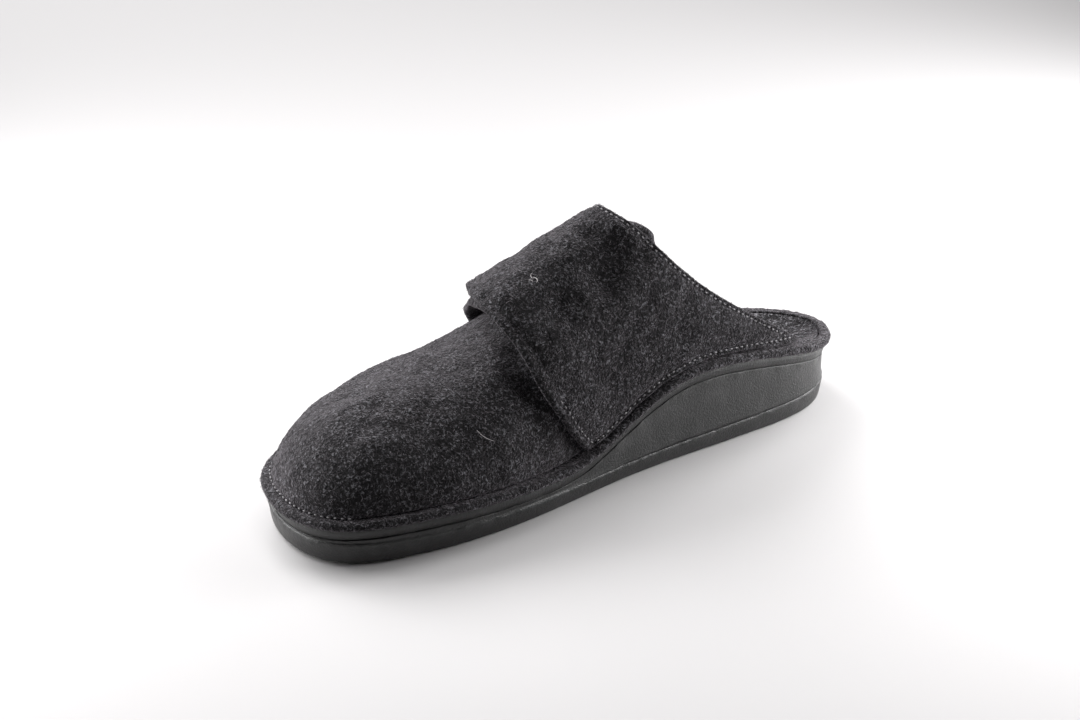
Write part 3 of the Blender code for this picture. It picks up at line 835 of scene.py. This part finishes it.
def build_upper(look):
    """The main felt shell, toe to collar, folded round the toe, with rounded cut edges and soft folds."""
    seed = SEEDS["upper"]
    share = spaced(UPPER_SIZE[0], both_ends=False)[:, None]
    part = spaced(UPPER_SIZE[1])
    turn = 2 * part
    collar = smooth_table(COLLAR_ROWS, np.minimum(turn, 2 - turn))[:, 1] + COLLAR_RECESS
    u = 1 - (1 - collar) * (1 - share)
    v = np.broadcast_to(turn, u.shape)
    full = rounded(share * UPPER_SIZE[0]) * rounded(np.minimum(part, 1 - part) * UPPER_SIZE[1])
    relief = felt_relief(u, v, upper_surface, UPPER_CREASES, [], seed)
    relief = relief * smooth_step(0.0, 0.12, np.minimum(v, 2 - v))
    outer = stitched(u, v, (1 + full) * FELT / 2 + relief)
    inner = stitched(u, v, (1 - full) * FELT / 2 + relief)
    outer += outward(u, v) * (ripple(outer, FELT_LUMPS, seed + 1) * full)[..., None]
    shape = Shape()
    add_sheet(shape, outer, inner, full, fold=True)
    add_piece("felt_upper", shape.mesh("felt_upper"), felt_finish(look), "upper")
    add_nap("upper_nap", outer, look.nap_count, look, seed + 2)


class Flap(namedtuple("Flap", "name node rows size outset_at creases seams")):
    """A felt flap: its edges, nominal size, distance from the upper's inside, folds and sewn rows."""

    def surface(self, u, v):
        """The flap's outer face without folds."""
        return stitched(u, v, self.outset_at(u, v) + FELT)


PANEL = Flap("panel", "closing_panel", PANEL_ROWS, PANEL_SIZE, panel_outset, PANEL_CREASES, PANEL_SEAMS)
STRAP = Flap("strap", "strap", STRAP_ROWS, STRAP_SIZE, strap_outset, STRAP_CREASES, STRAP_SEAMS)


def build_flap(flap, look, nap_count):
    """A felt flap between its back and front edges, with rounded cut edges, soft folds and sewn dents."""
    rows, size, seed = flap.rows, flap.size, SEEDS[flap.name]
    share = spaced(size[0])[:, None]
    part = spaced(size[1])
    turn = rows[0].v + (rows[-1].v - rows[0].v) * part
    edges = smooth_table(rows, turn)
    u = edges[:, 1] + (edges[:, 2] - edges[:, 1]) * share
    v = np.broadcast_to(turn, u.shape)
    full = rounded(np.minimum(share, 1 - share) * size[0]) * rounded(np.minimum(part, 1 - part) * size[1])
    outset = flap.outset_at(u, v)
    seam_lines = [seam_path(rows, seam) for seam in flap.seams]
    relief = felt_relief(u, v, flap.surface, flap.creases, seam_lines, seed)
    outer = stitched(u, v, outset + (1 + full) * FELT / 2 + relief, FLAP_FOOT_CLEARANCE)
    inner = stitched(u, v, outset + (1 - full) * FELT / 2 + relief, FLAP_FOOT_CLEARANCE)
    outer += outward(u, v) * (ripple(outer, FELT_LUMPS, seed + 1) * full)[..., None]
    shape = Shape()
    add_sheet(shape, outer, inner, full)
    add_piece("felt_" + flap.name, shape.mesh("felt_" + flap.name), felt_finish(look), flap.node)
    add_nap(flap.name + "_nap", outer, nap_count, look, seed + 2)


def add_tubes(shape, path, radius, sides, facing):
    """Closed tubes along paths of shape (tubes, points, 3), pointed at both ends.

    Each ring is centre + radius * (cos a * side + sin a * lift), where side is square to the path and to
    the facing direction, and lift to both.
    """
    tangent = unit(np.gradient(path, axis=1))
    side = unit(np.cross(tangent, facing))
    lift = np.cross(side, tangent)
    angle = np.linspace(0, 2 * pi, sides, endpoint=False)[:, None]
    circle = np.cos(angle) * side[..., None, :] + np.sin(angle) * lift[..., None, :]
    numbers = shape.add_points(path[..., None, :] + radius[..., None, None] * circle)
    numbers[:, 0] = numbers[:, 0, :1]
    numbers[:, -1] = numbers[:, -1, :1]
    shape.add_band(numbers)


def scattered(grid, count, rng):
    """Random places on a grid of points, even by area, and the unit normals there."""
    one, two, three, four = grid[:-1, :-1], grid[:-1, 1:], grid[1:, 1:], grid[1:, :-1]
    normal = np.cross(two - four, three - one).reshape(-1, 3)
    area = np.linalg.norm(normal, axis=1)
    cell = rng.choice(len(area), size=count, p=area / area.sum())
    first, second = rng.random((2, count, 1))
    corners = [corner.reshape(-1, 3)[cell] for corner in (one, two, three, four)]
    lower = corners[0] + (corners[1] - corners[0]) * first
    upper = corners[3] + (corners[2] - corners[3]) * first
    return lower + (upper - lower) * second, unit(normal[cell])


def add_nap(name, grid, count, look, seed):
    """Loose fibres that lie on the felt and stand up from it a little, as thin bent tubes.

    A fibre runs along a random tangent, sideways by a share of the way squared, and up by a low arch.
    """
    rng = np.random.default_rng(seed)
    base, normal = scattered(grid, count, rng)
    tangent = unit(np.cross(normal, rng.normal(size=(count, 3))))
    sideways = np.cross(normal, tangent)
    length = look.nap_length * (NAP_SHORTEST + NAP_SPREAD * rng.random((count, 1, 1)) ** 2)
    curl = rng.normal(scale=NAP_CURL, size=(count, 1, 1))
    arch = NAP_ARCH + NAP_STAND * 0.5 * rng.random((count, 1, 1)) ** 3
    end = NAP_STAND * 0.9 * rng.random((count, 1, 1)) ** 5
    way = np.array(NAP_WAY)[:, None]
    path = base[:, None] + tangent[:, None] * length * way + sideways[:, None] * curl * length * way**2
    path = path + normal[:, None] * (arch * 4 * way * (1 - way) + end * way - NAP_ROOT)
    thickness = look.nap_thickness * (0.6 + 0.8 * rng.random((count, 1)))
    radius = thickness / 2 * np.array(NAP_TAPER)
    shape = Shape()
    add_tubes(shape, path, radius, 3, normal[:, None])
    mesh = shape.mesh(name, turn_outwards=False)
    shade = np.repeat(rng.random(count), len(mesh.vertices) // count)
    mesh.attributes.new("shade", "FLOAT", "POINT").data.foreach_set("value", shade.astype(np.float32))
    add_piece(name, mesh, nap_finish(look))


def build_lint():
    """Single hairs on the felt: an arc whose heading turns evenly along its length, as a thin tube."""
    surfaces = {"upper": upper_surface, "strap": STRAP.surface}
    creases = {"upper": UPPER_CREASES, "strap": STRAP_CREASES}
    share = np.linspace(0, 1, LINT_POINTS)
    radius = LINT_THICKNESS / 2 * np.sin(share * pi).clip(0) ** 0.3
    shape = Shape()
    for lint in LINT:
        surface = surfaces[lint.part]
        at = np.array([lint.u]), np.array([lint.v])
        normal = outward(*at)[0]
        relief = felt_relief(*at, surface, creases[lint.part], [], SEEDS[lint.part])[0]
        start = surface(*at)[0] + normal * (relief + LINT_LIFT)
        toeward = surface(at[0] + SHORT_STEP, at[1])[0] - surface(*at)[0]
        toeward = unit(toeward - normal * (toeward @ normal))
        crestward = np.cross(toeward, normal)
        heading = np.radians(lint.heading + lint.turn * share)[:, None]
        steps = np.cos(heading) * toeward + np.sin(heading) * crestward
        way = np.cumsum(steps, axis=0) * lint.length * MM / len(steps)
        add_tubes(shape, (start + way)[None], radius[None], 6, normal)
    add_piece("felt_lint", shape.mesh("felt_lint", turn_outwards=False), lint_finish())


def even_line(points, normals, pitch):
    """Places every pitch along a line of points, with the line's direction and the normals there."""
    length = arc_length(points)
    at = np.arange(pitch / 2, length[-1], pitch)

    def read(values):
        return np.stack([np.interp(at, length, column) for column in values.T], axis=1)

    return read(points), unit(read(np.gradient(points, axis=0))), unit(read(normals))


def add_stitches(name, lines, look, seed):
    """Rows of short thread beads: each is a tube with a round end profile, bowed a little out of the felt."""
    rng = np.random.default_rng(seed)
    found = [even_line(points, normals, look.pitch) for points, normals in lines]
    centre, along, normal = (np.concatenate(values) for values in zip(*found))
    count = len(centre)
    way = np.linspace(-0.5, 0.5, 7)[:, None]
    sideways = np.cross(normal, along)
    along = unit(along + sideways * rng.normal(scale=0.09, size=(count, 1)))
    length = look.length * (1 + rng.normal(scale=0.07, size=(count, 1, 1)))
    sunk = STITCH_SINK * rng.random((count, 1, 1)) - STITCH_LIFT
    bow = STITCH_BOW * (1 - 4 * way**2)
    path = centre[:, None] + along[:, None] * length * way + normal[:, None] * (bow - sunk)
    swell = np.sqrt(1 - (2 * way[:, 0]) ** 4)
    radius = look.thickness / 2 * swell * (1 + rng.normal(scale=0.06, size=(count, 1)))
    shape = Shape()
    add_tubes(shape, path, radius, 8, normal[:, None])
    add_piece(name, shape.mesh(name, turn_outwards=False), thread_finish(look))


def flap_lines(flap):
    """Points and normals of a flap's sewn rows, in their dents on its folded outer face."""
    lines = []
    for seam in flap.seams:
        u, v = seam_path(flap.rows, seam)
        relief = felt_relief(u, v, flap.surface, flap.creases, [], SEEDS[flap.name])
        outset = flap.outset_at(u, v) + FELT + relief - SEAM_DEPTH / 2
        lines.append((stitched(u, v, outset, FLAP_FOOT_CLEARANCE), outward(u, v)))
    return lines


def toe_line():
    """The row that shows where the upper is sewn to the felt ring: along its foot, round the toe."""
    medial = np.linspace(TOE_ROW_START, 1, TOE_ROW_POINTS)
    lateral = medial[-2::-1]
    u = np.concatenate([medial, lateral])
    v = np.concatenate([np.zeros(len(medial)), np.full(len(lateral), 2.0)])
    points = stitched(u, v, FELT + TOE_ROW_OUT)
    points[:, 2] += TOE_ROW_UP
    flat = outward(u, v) * (1, 1, 0)
    return points, unit(unit(flat) + (0, 0, 1.0))


def build_stitches(look):
    """The rows round the toe, on the strap and on the closing panel."""
    rows = {"toe": [toe_line()], "strap": flap_lines(STRAP), "panel": flap_lines(PANEL)}
    for seed, (name, lines) in enumerate(rows.items(), SEEDS["stitches"]):
        add_stitches(name + "_stitches", lines, look, seed)


def add_node(tree, kind, inputs=None, **settings):
    """A shader node with its settings, and its inputs either set or linked from another node's output."""
    made = tree.nodes.new(kind)
    for name, value in settings.items():
        setattr(made, name, value)
    for name, value in (inputs or {}).items():
        if isinstance(value, bpy.types.NodeSocket):
            tree.links.new(value, made.inputs[name])
        else:
            made.inputs[name].default_value = value
    return made


def new_material(name, roughness):
    """A Principled material without metal: gives it, its node tree and its shader."""
    material = bpy.data.materials.new(name)
    material.use_nodes = True
    shader = material.node_tree.nodes["Principled BSDF"]
    shader.inputs["Roughness"].default_value = roughness
    shader.inputs["Metallic"].default_value = 0.0
    return material, material.node_tree, shader


def noise(tree, size, detail=2.0, distortion=0.0, layer=0.0):
    """Noise with features about size across, on the piece's own coordinates. Each layer is another one."""
    place = add_node(tree, "ShaderNodeTexCoord").outputs["Object"]
    inputs = {"Vector": place, "W": layer, "Scale": 1 / size, "Detail": detail, "Distortion": distortion}
    return add_node(tree, "ShaderNodeTexNoise", inputs, noise_dimensions="4D").outputs["Fac"]


def arithmetic(tree, operation, first, second):
    """One arithmetic step between two sockets or numbers."""
    return add_node(tree, "ShaderNodeMath", {0: first, 1: second}, operation=operation).outputs[0]


def spread(tree, value, low, high, to_low=0.0, to_high=1.0):
    """A value mapped from low..high to to_low..to_high, and held there outside."""
    inputs = {"Value": value, "From Min": low, "From Max": high, "To Min": to_low, "To Max": to_high}
    return add_node(tree, "ShaderNodeMapRange", inputs).outputs["Result"]


def colour_ramp(tree, value, stops):
    """A colour for each value, by (place, colour) stops."""
    made = add_node(tree, "ShaderNodeValToRGB", {"Fac": value})
    elements = made.color_ramp.elements
    while len(elements) < len(stops):
        elements.new(1.0)
    for element, (place, colour) in zip(elements, stops):
        element.position = place
        element.color = (*colour, 1.0)
    return made.outputs["Color"]


def bumped(tree, shader, height, depth, strength):
    """Gives a shader small relief of the given depth."""
    inputs = {"Height": height, "Distance": depth, "Strength": strength}
    bump = add_node(tree, "ShaderNodeBump", inputs)
    tree.links.new(bump.outputs["Normal"], shader.inputs["Normal"])


def scaled(colour, factor):
    """A colour made lighter or darker."""
    return tuple(channel * factor for channel in colour)


def kept_finish(name, make, *settings):
    """A material by name, made from its settings the first time that it is asked for."""
    return bpy.data.materials.get(name) or make(name, *settings)


def curls(tree, size, layer):
    """1 along short curls about size wide, else 0: where warped noise crosses its middle, broken up."""
    field = noise(tree, size * 2.6, detail=1.0, distortion=1.4, layer=layer)
    away = arithmetic(tree, "ABSOLUTE", arithmetic(tree, "SUBTRACT", field, 0.5), 0.0)
    line = spread(tree, away, 0.01, 0.09, 1.0, 0.0)
    broken = spread(tree, noise(tree, size * 2.2, detail=1.0, layer=layer + 1), 0.40, 0.56)
    return arithmetic(tree, "MULTIPLY", line, broken)


def weighted(tree, start, terms):
    """A number plus the sum of each (value, weight)."""
    total = start
    for value, weight in terms:
        total = arithmetic(tree, "ADD", total, arithmetic(tree, "MULTIPLY", value, weight))
    return total


def make_felt(name, look, base, contrast):
    """Heathered felt: short pale curls over dark ones, with fine specks and soft mottling."""
    material, tree, shader = new_material(name, 0.95)
    size = look.fibre_size
    terms = [
        (curls(tree, size, 0.0), 0.34),
        (curls(tree, size * 1.2, 5.0), -0.20),
        (noise(tree, size * 1.3, detail=1.5, layer=11.0), 0.86),
        (noise(tree, size * 9, layer=12.0), 0.20),
    ]
    tone = weighted(tree, -0.14, terms)
    stops = [
        (0.16, scaled(base, 0.02)),
        (0.38, scaled(base, 0.08)),
        (0.54, scaled(base, 0.08 + 0.36 * contrast)),
        (0.80, scaled(base, 0.10 + 4.20 * contrast)),
    ]
    tree.links.new(colour_ramp(tree, tone, stops), shader.inputs["Base Color"])
    shader.inputs["Specular IOR Level"].default_value = 0.15
    shader.inputs["Sheen Weight"].default_value = look.sheen
    shader.inputs["Sheen Roughness"].default_value = 0.45
    shader.inputs["Sheen Tint"].default_value = (*look.sheen_colour, 1.0)
    bumped(tree, shader, tone, look.relief, 1.0)
    return material


def felt_finish(look):
    """The charcoal felt of the upper, the flaps and the ring."""
    return kept_finish("charcoal felt", make_felt, look, look.colour, 1.0)


def footbed_finish(look):
    """The pressed felt of the footbed, plainer than the upper's."""
    return kept_finish("pressed felt", make_felt, look, scaled(look.footbed_colour, 3.5), 0.6)


def make_nap(name, look):
    """Loose fibres, each of its own shade from near black to pale grey, kept in the attribute shade."""
    material, tree, shader = new_material(name, 0.9)
    shade = add_node(tree, "ShaderNodeAttribute", attribute_name="shade").outputs["Fac"]
    stops = [
        (0.0, scaled(look.colour, 0.2)),
        (0.45, scaled(look.colour, 0.5)),
        (0.85, scaled(look.fleck_colour, 0.3)),
        (1.0, look.fleck_colour),
    ]
    tree.links.new(colour_ramp(tree, shade, stops), shader.inputs["Base Color"])
    shader.inputs["Specular IOR Level"].default_value = 0.2
    return material


def nap_finish(look):
    """The loose fibres' finish."""
    return kept_finish("loose wool fibres", make_nap, look)


def make_thread(name, look):
    """Grey sewing thread: uneven in tone, with a fine twist of relief."""
    material, tree, shader = new_material(name, 0.7)
    tone = noise(tree, 0.0006, detail=2.0)
    stops = [(0.3, scaled(look.colour, 0.55)), (0.7, scaled(look.colour, 1.25))]
    tree.links.new(colour_ramp(tree, tone, stops), shader.inputs["Base Color"])
    bumped(tree, shader, noise(tree, 0.0003), 0.0001, 0.6)
    return material


def thread_finish(look):
    """The stitches' finish."""
    return kept_finish("grey thread", make_thread, look)


def make_lint(name):
    """Pale plain hair."""
    material, tree, shader = new_material(name, 0.6)
    shader.inputs["Base Color"].default_value = (*LINT_COLOUR, 1.0)
    return material


def lint_finish():
    """The single hairs' finish."""
    return kept_finish("pale lint", make_lint)


def make_moulded(name, look, colour, roughness):
    """Satin black moulding: fine pebble grain, small changes of gloss, and a few paler patches of painted
    sheen.
    """
    material, tree, shader = new_material(name, roughness)
    # Paler patches in the base colour are painted sheen: they stand in for mottled highlights on the
    # moulding.
    painted_sheen = spread(tree, noise(tree, 0.012, detail=4.0), 0.50, 0.75)
    stops = [(0.0, scaled(colour, 0.9)), (1.0, scaled(colour, 2.2))]
    shader.inputs["Specular IOR Level"].default_value = 0.6
    tree.links.new(colour_ramp(tree, painted_sheen, stops), shader.inputs["Base Color"])
    gloss = spread(tree, noise(tree, 0.005, detail=3.0), 0.3, 0.7, roughness - 0.06, roughness + 0.08)
    tree.links.new(gloss, shader.inputs["Roughness"])
    grain = noise(tree, look.grain_size, detail=3.0)
    bumped(tree, shader, grain, look.grain_depth, 0.7)
    return material


def foam_finish(look):
    """The midsole's finish."""
    return kept_finish("grained black foam", make_moulded, look, look.foam_colour, look.foam_roughness)


def rubber_finish(look):
    """The outsole's finish."""
    return kept_finish("satin black rubber", make_moulded, look, look.rubber_colour, look.rubber_roughness)


def add_floor(look):
    """A pale plain floor, wide enough for every view."""
    reach = look.floor_width / 2
    shape = Shape()
    line = np.array([-reach, reach])
    corners = np.stack(np.meshgrid(line, line, [FLOOR_LEVEL], indexing="ij"), axis=-1)[:, :, 0]
    shape.add_faces(shape.add_points(corners)[:, ::-1])
    mesh = shape.mesh("floor", turn_outwards=False)
    floor = bpy.data.objects.new("floor", mesh)
    material, tree, shader = new_material("pale floor", 0.75)
    shader.inputs["Base Color"].default_value = (*look.floor_colour, 1.0)
    shader.inputs["Specular IOR Level"].default_value = 0.2
    mesh.materials.append(material)
    bpy.context.scene.collection.objects.link(floor)


def view_axes():
    """The camera's directions to its right, to its back, and to its back along the floor."""
    right = Vector((cos(AZIMUTH), sin(AZIMUTH), 0.0))
    level = Vector((sin(AZIMUTH), -cos(AZIMUTH), 0.0))
    back = level * cos(ELEVATION) + Vector((0, 0, sin(ELEVATION)))
    return right, back, level


def add_soft_box(box, strength):
    """A square area light that looks at the shoe."""
    right, back, level = view_axes()
    azimuth = radians(box.azimuth)
    elevation = radians(box.elevation)
    flat = right * cos(azimuth) - level * sin(azimuth)
    place = flat * cos(elevation) + Vector((0, 0, sin(elevation)))
    light = bpy.data.lights.new(box.name, "AREA")
    light.energy = box.power * strength
    light.size = box.width
    lamp = bpy.data.objects.new(box.name, light)
    lamp.location = AIM + place * box.distance
    lamp.rotation_mode = "QUATERNION"
    lamp.rotation_quaternion = place.to_track_quat("Z", "Y")
    lamp.visible_camera = False
    bpy.context.scene.collection.objects.link(lamp)


def add_lights(look):
    """Soft boxes at both sides of the shoe, behind it and above it, and a faint even sky."""
    for box in SOFT_BOXES:
        add_soft_box(box, look.light)
    world = bpy.data.worlds.new("even sky")
    world.use_nodes = True
    sky = world.node_tree.nodes["Background"]
    sky.inputs["Color"].default_value = (1.0, 0.99, 0.995, 1.0)
    sky.inputs["Strength"].default_value = look.sky
    bpy.context.scene.world = world


def add_camera():
    """The camera at the photo's angle and distance."""
    right, back, level = view_axes()
    lens = bpy.data.cameras.new("camera")
    lens.sensor_width = SENSOR
    lens.lens = LENS
    camera = bpy.data.objects.new("camera", lens)
    camera.location = AIM + back * DISTANCE
    camera.rotation_mode = "QUATERNION"
    camera.rotation_quaternion = back.to_track_quat("Z", "Y")
    bpy.context.scene.collection.objects.link(camera)
    bpy.context.scene.camera = camera


def colour_of(slot):
    """The record's colour for a material slot."""
    return tuple(SLOTS[slot]["base_color"])


class SlipperFelt(bpy.types.PropertyGroup):
    """What a user would change about the felt."""

    colour: FloatVectorProperty(
        name="Felt", description="Mean colour of the felt", subtype="COLOR", default=colour_of("felt")
    )
    footbed_colour: FloatVectorProperty(
        name="Footbed",
        description="Mean colour of the insole",
        subtype="COLOR",
        default=colour_of("footbed_felt"),
    )
    fleck_colour: FloatVectorProperty(
        name="Flecks",
        description="Colour of the palest fibres",
        subtype="COLOR",
        default=(0.28, 0.257, 0.275),
    )
    sheen_colour: FloatVectorProperty(
        name="Sheen tint",
        description="Tint of the nap's sheen",
        subtype="COLOR",
        default=(0.64, 0.585, 0.635),
    )
    sheen: FloatProperty(
        name="Sheen",
        description="Strength of the nap's sheen",
        subtype="FACTOR",
        default=0.44,
        min=0,
        max=1,
    )
    fibre_size: FloatProperty(
        name="Fibre size", description="Size of the flecks", unit="LENGTH", default=0.00075, precision=5
    )
    relief: FloatProperty(
        name="Relief",
        description="Depth of the felt's fine relief",
        unit="LENGTH",
        default=0.0009,
        precision=5,
    )
    nap_length: FloatProperty(
        name="Fibre length",
        description="Mean length of loose fibres",
        unit="LENGTH",
        default=0.0016,
        precision=5,
    )
    nap_thickness: FloatProperty(
        name="Fibre thickness",
        description="Thickness of loose fibres",
        unit="LENGTH",
        default=0.00016,
        precision=5,
    )
    nap_count: IntProperty(name="Fibres", description="Loose fibres on the upper", default=12000, min=100)


class SlipperSole(bpy.types.PropertyGroup):
    """What a user would change about the sole."""

    foam_colour: FloatVectorProperty(
        name="Midsole", description="Colour of the wedge", subtype="COLOR", default=colour_of("sole_foam")
    )
    rubber_colour: FloatVectorProperty(
        name="Outsole",
        description="Colour of the tread layer",
        subtype="COLOR",
        default=colour_of("sole_rubber"),
    )
    foam_roughness: FloatProperty(
        name="Midsole roughness",
        description="How matt the wedge is",
        subtype="FACTOR",
        default=0.42,
        min=0,
        max=1,
    )
    rubber_roughness: FloatProperty(
        name="Outsole roughness",
        description="How matt the tread is",
        subtype="FACTOR",
        default=0.40,
        min=0,
        max=1,
    )
    grain_size: FloatProperty(
        name="Grain size",
        description="Size of the moulded grain",
        unit="LENGTH",
        default=0.0009,
        precision=5,
    )
    grain_depth: FloatProperty(
        name="Grain depth",
        description="Depth of the moulded grain",
        unit="LENGTH",
        default=0.00055,
        precision=6,
    )


class SlipperThread(bpy.types.PropertyGroup):
    """What a user would change about the sewn rows."""

    colour: FloatVectorProperty(
        name="Thread", description="Colour of the thread", subtype="COLOR", default=(0.26, 0.25, 0.26)
    )
    length: FloatProperty(
        name="Stitch", description="Length of one stitch", unit="LENGTH", default=0.0014, precision=5
    )
    pitch: FloatProperty(
        name="Pitch", description="Distance between stitches", unit="LENGTH", default=0.0030, precision=5
    )
    thickness: FloatProperty(
        name="Thickness",
        description="Thickness of the thread",
        unit="LENGTH",
        default=0.00065,
        precision=5,
    )


class SlipperStage(bpy.types.PropertyGroup):
    """What a user would change about the floor and the light."""

    floor_colour: FloatVectorProperty(
        name="Floor", description="Colour of the floor", subtype="COLOR", default=(0.465, 0.456, 0.459)
    )
    floor_width: FloatProperty(
        name="Floor width", description="Width of the floor", unit="LENGTH", default=30.0
    )
    light: FloatProperty(
        name="Light", description="Strength of the soft boxes", subtype="FACTOR", default=1.0, min=0
    )
    sky: FloatProperty(
        name="Sky", description="Strength of the even sky", subtype="FACTOR", default=0.02, min=0
    )


class SLIPPER_OT_outsole(bpy.types.Operator):
    """Build the tread layer"""

    bl_idname = "slipper.outsole"
    bl_label = "Outsole"

    def execute(self, context):
        build_outsole(context.scene.slipper_sole)
        return {"FINISHED"}


class SLIPPER_OT_midsole(bpy.types.Operator):
    """Build the wedge with its groove and lip"""

    bl_idname = "slipper.midsole"
    bl_label = "Midsole"

    def execute(self, context):
        build_midsole(context.scene.slipper_sole)
        return {"FINISHED"}


class SLIPPER_OT_footbed(bpy.types.Operator):
    """Build the felt insole"""

    bl_idname = "slipper.footbed"
    bl_label = "Footbed"

    def execute(self, context):
        build_footbed(context.scene.slipper_felt)
        return {"FINISHED"}


class SLIPPER_OT_rand(bpy.types.Operator):
    """Build the felt ring on the lip"""

    bl_idname = "slipper.rand"
    bl_label = "Felt ring"

    def execute(self, context):
        build_rand(context.scene.slipper_felt)
        return {"FINISHED"}


class SLIPPER_OT_upper(bpy.types.Operator):
    """Build the main felt shell"""

    bl_idname = "slipper.upper"
    bl_label = "Upper"

    def execute(self, context):
        build_upper(context.scene.slipper_felt)
        return {"FINISHED"}


class SLIPPER_OT_flaps(bpy.types.Operator):
    """Build the closing panel and the strap over it"""

    bl_idname = "slipper.flaps"
    bl_label = "Panel and strap"

    def execute(self, context):
        look = context.scene.slipper_felt
        build_flap(PANEL, look, look.nap_count // 4)
        build_flap(STRAP, look, look.nap_count * 3 // 4)
        return {"FINISHED"}


class SLIPPER_OT_stitches(bpy.types.Operator):
    """Sew the rows round the toe and on both flaps"""

    bl_idname = "slipper.stitches"
    bl_label = "Stitches"

    def execute(self, context):
        build_stitches(context.scene.slipper_thread)
        return {"FINISHED"}


class SLIPPER_OT_lint(bpy.types.Operator):
    """Lay the single hairs that cling to the felt"""

    bl_idname = "slipper.lint"
    bl_label = "Lint"

    def execute(self, context):
        build_lint()
        return {"FINISHED"}


class SLIPPER_OT_stage(bpy.types.Operator):
    """Set the floor, the lights and the camera"""

    bl_idname = "slipper.stage"
    bl_label = "Stage"

    def execute(self, context):
        look = context.scene.slipper_stage
        add_floor(look)
        add_lights(look)
        add_camera()
        context.scene.view_settings.view_transform = "Standard"
        return {"FINISHED"}


OPERATORS = [
    SLIPPER_OT_outsole,
    SLIPPER_OT_midsole,
    SLIPPER_OT_footbed,
    SLIPPER_OT_rand,
    SLIPPER_OT_upper,
    SLIPPER_OT_flaps,
    SLIPPER_OT_stitches,
    SLIPPER_OT_lint,
    SLIPPER_OT_stage,
]
GROUPS = {
    "slipper_felt": SlipperFelt,
    "slipper_sole": SlipperSole,
    "slipper_thread": SlipperThread,
    "slipper_stage": SlipperStage,
}


class SLIPPER_PT_pieces(bpy.types.Panel):
    """The steps that build the slipper"""

    bl_idname = "SLIPPER_PT_pieces"
    bl_label = "Felt House Slipper"
    bl_space_type = "VIEW_3D"
    bl_region_type = "UI"
    bl_category = "Slipper"

    def draw(self, context):
        for operator in OPERATORS:
            self.layout.operator(operator.bl_idname)


def register():
    for group in GROUPS.values():
        bpy.utils.register_class(group)
    for name, group in GROUPS.items():
        setattr(bpy.types.Scene, name, PointerProperty(type=group))
    for listed in (*OPERATORS, SLIPPER_PT_pieces):
        bpy.utils.register_class(listed)


def unregister():
    for listed in (SLIPPER_PT_pieces, *reversed(OPERATORS)):
        bpy.utils.unregister_class(listed)
    for name, group in GROUPS.items():
        delattr(bpy.types.Scene, name)
        bpy.utils.unregister_class(group)


def main():
    register()
    for operator in OPERATORS:
        family, step = operator.bl_idname.split(".")
        getattr(getattr(bpy.ops, family), step)()


if __name__ == "__main__":
    main()
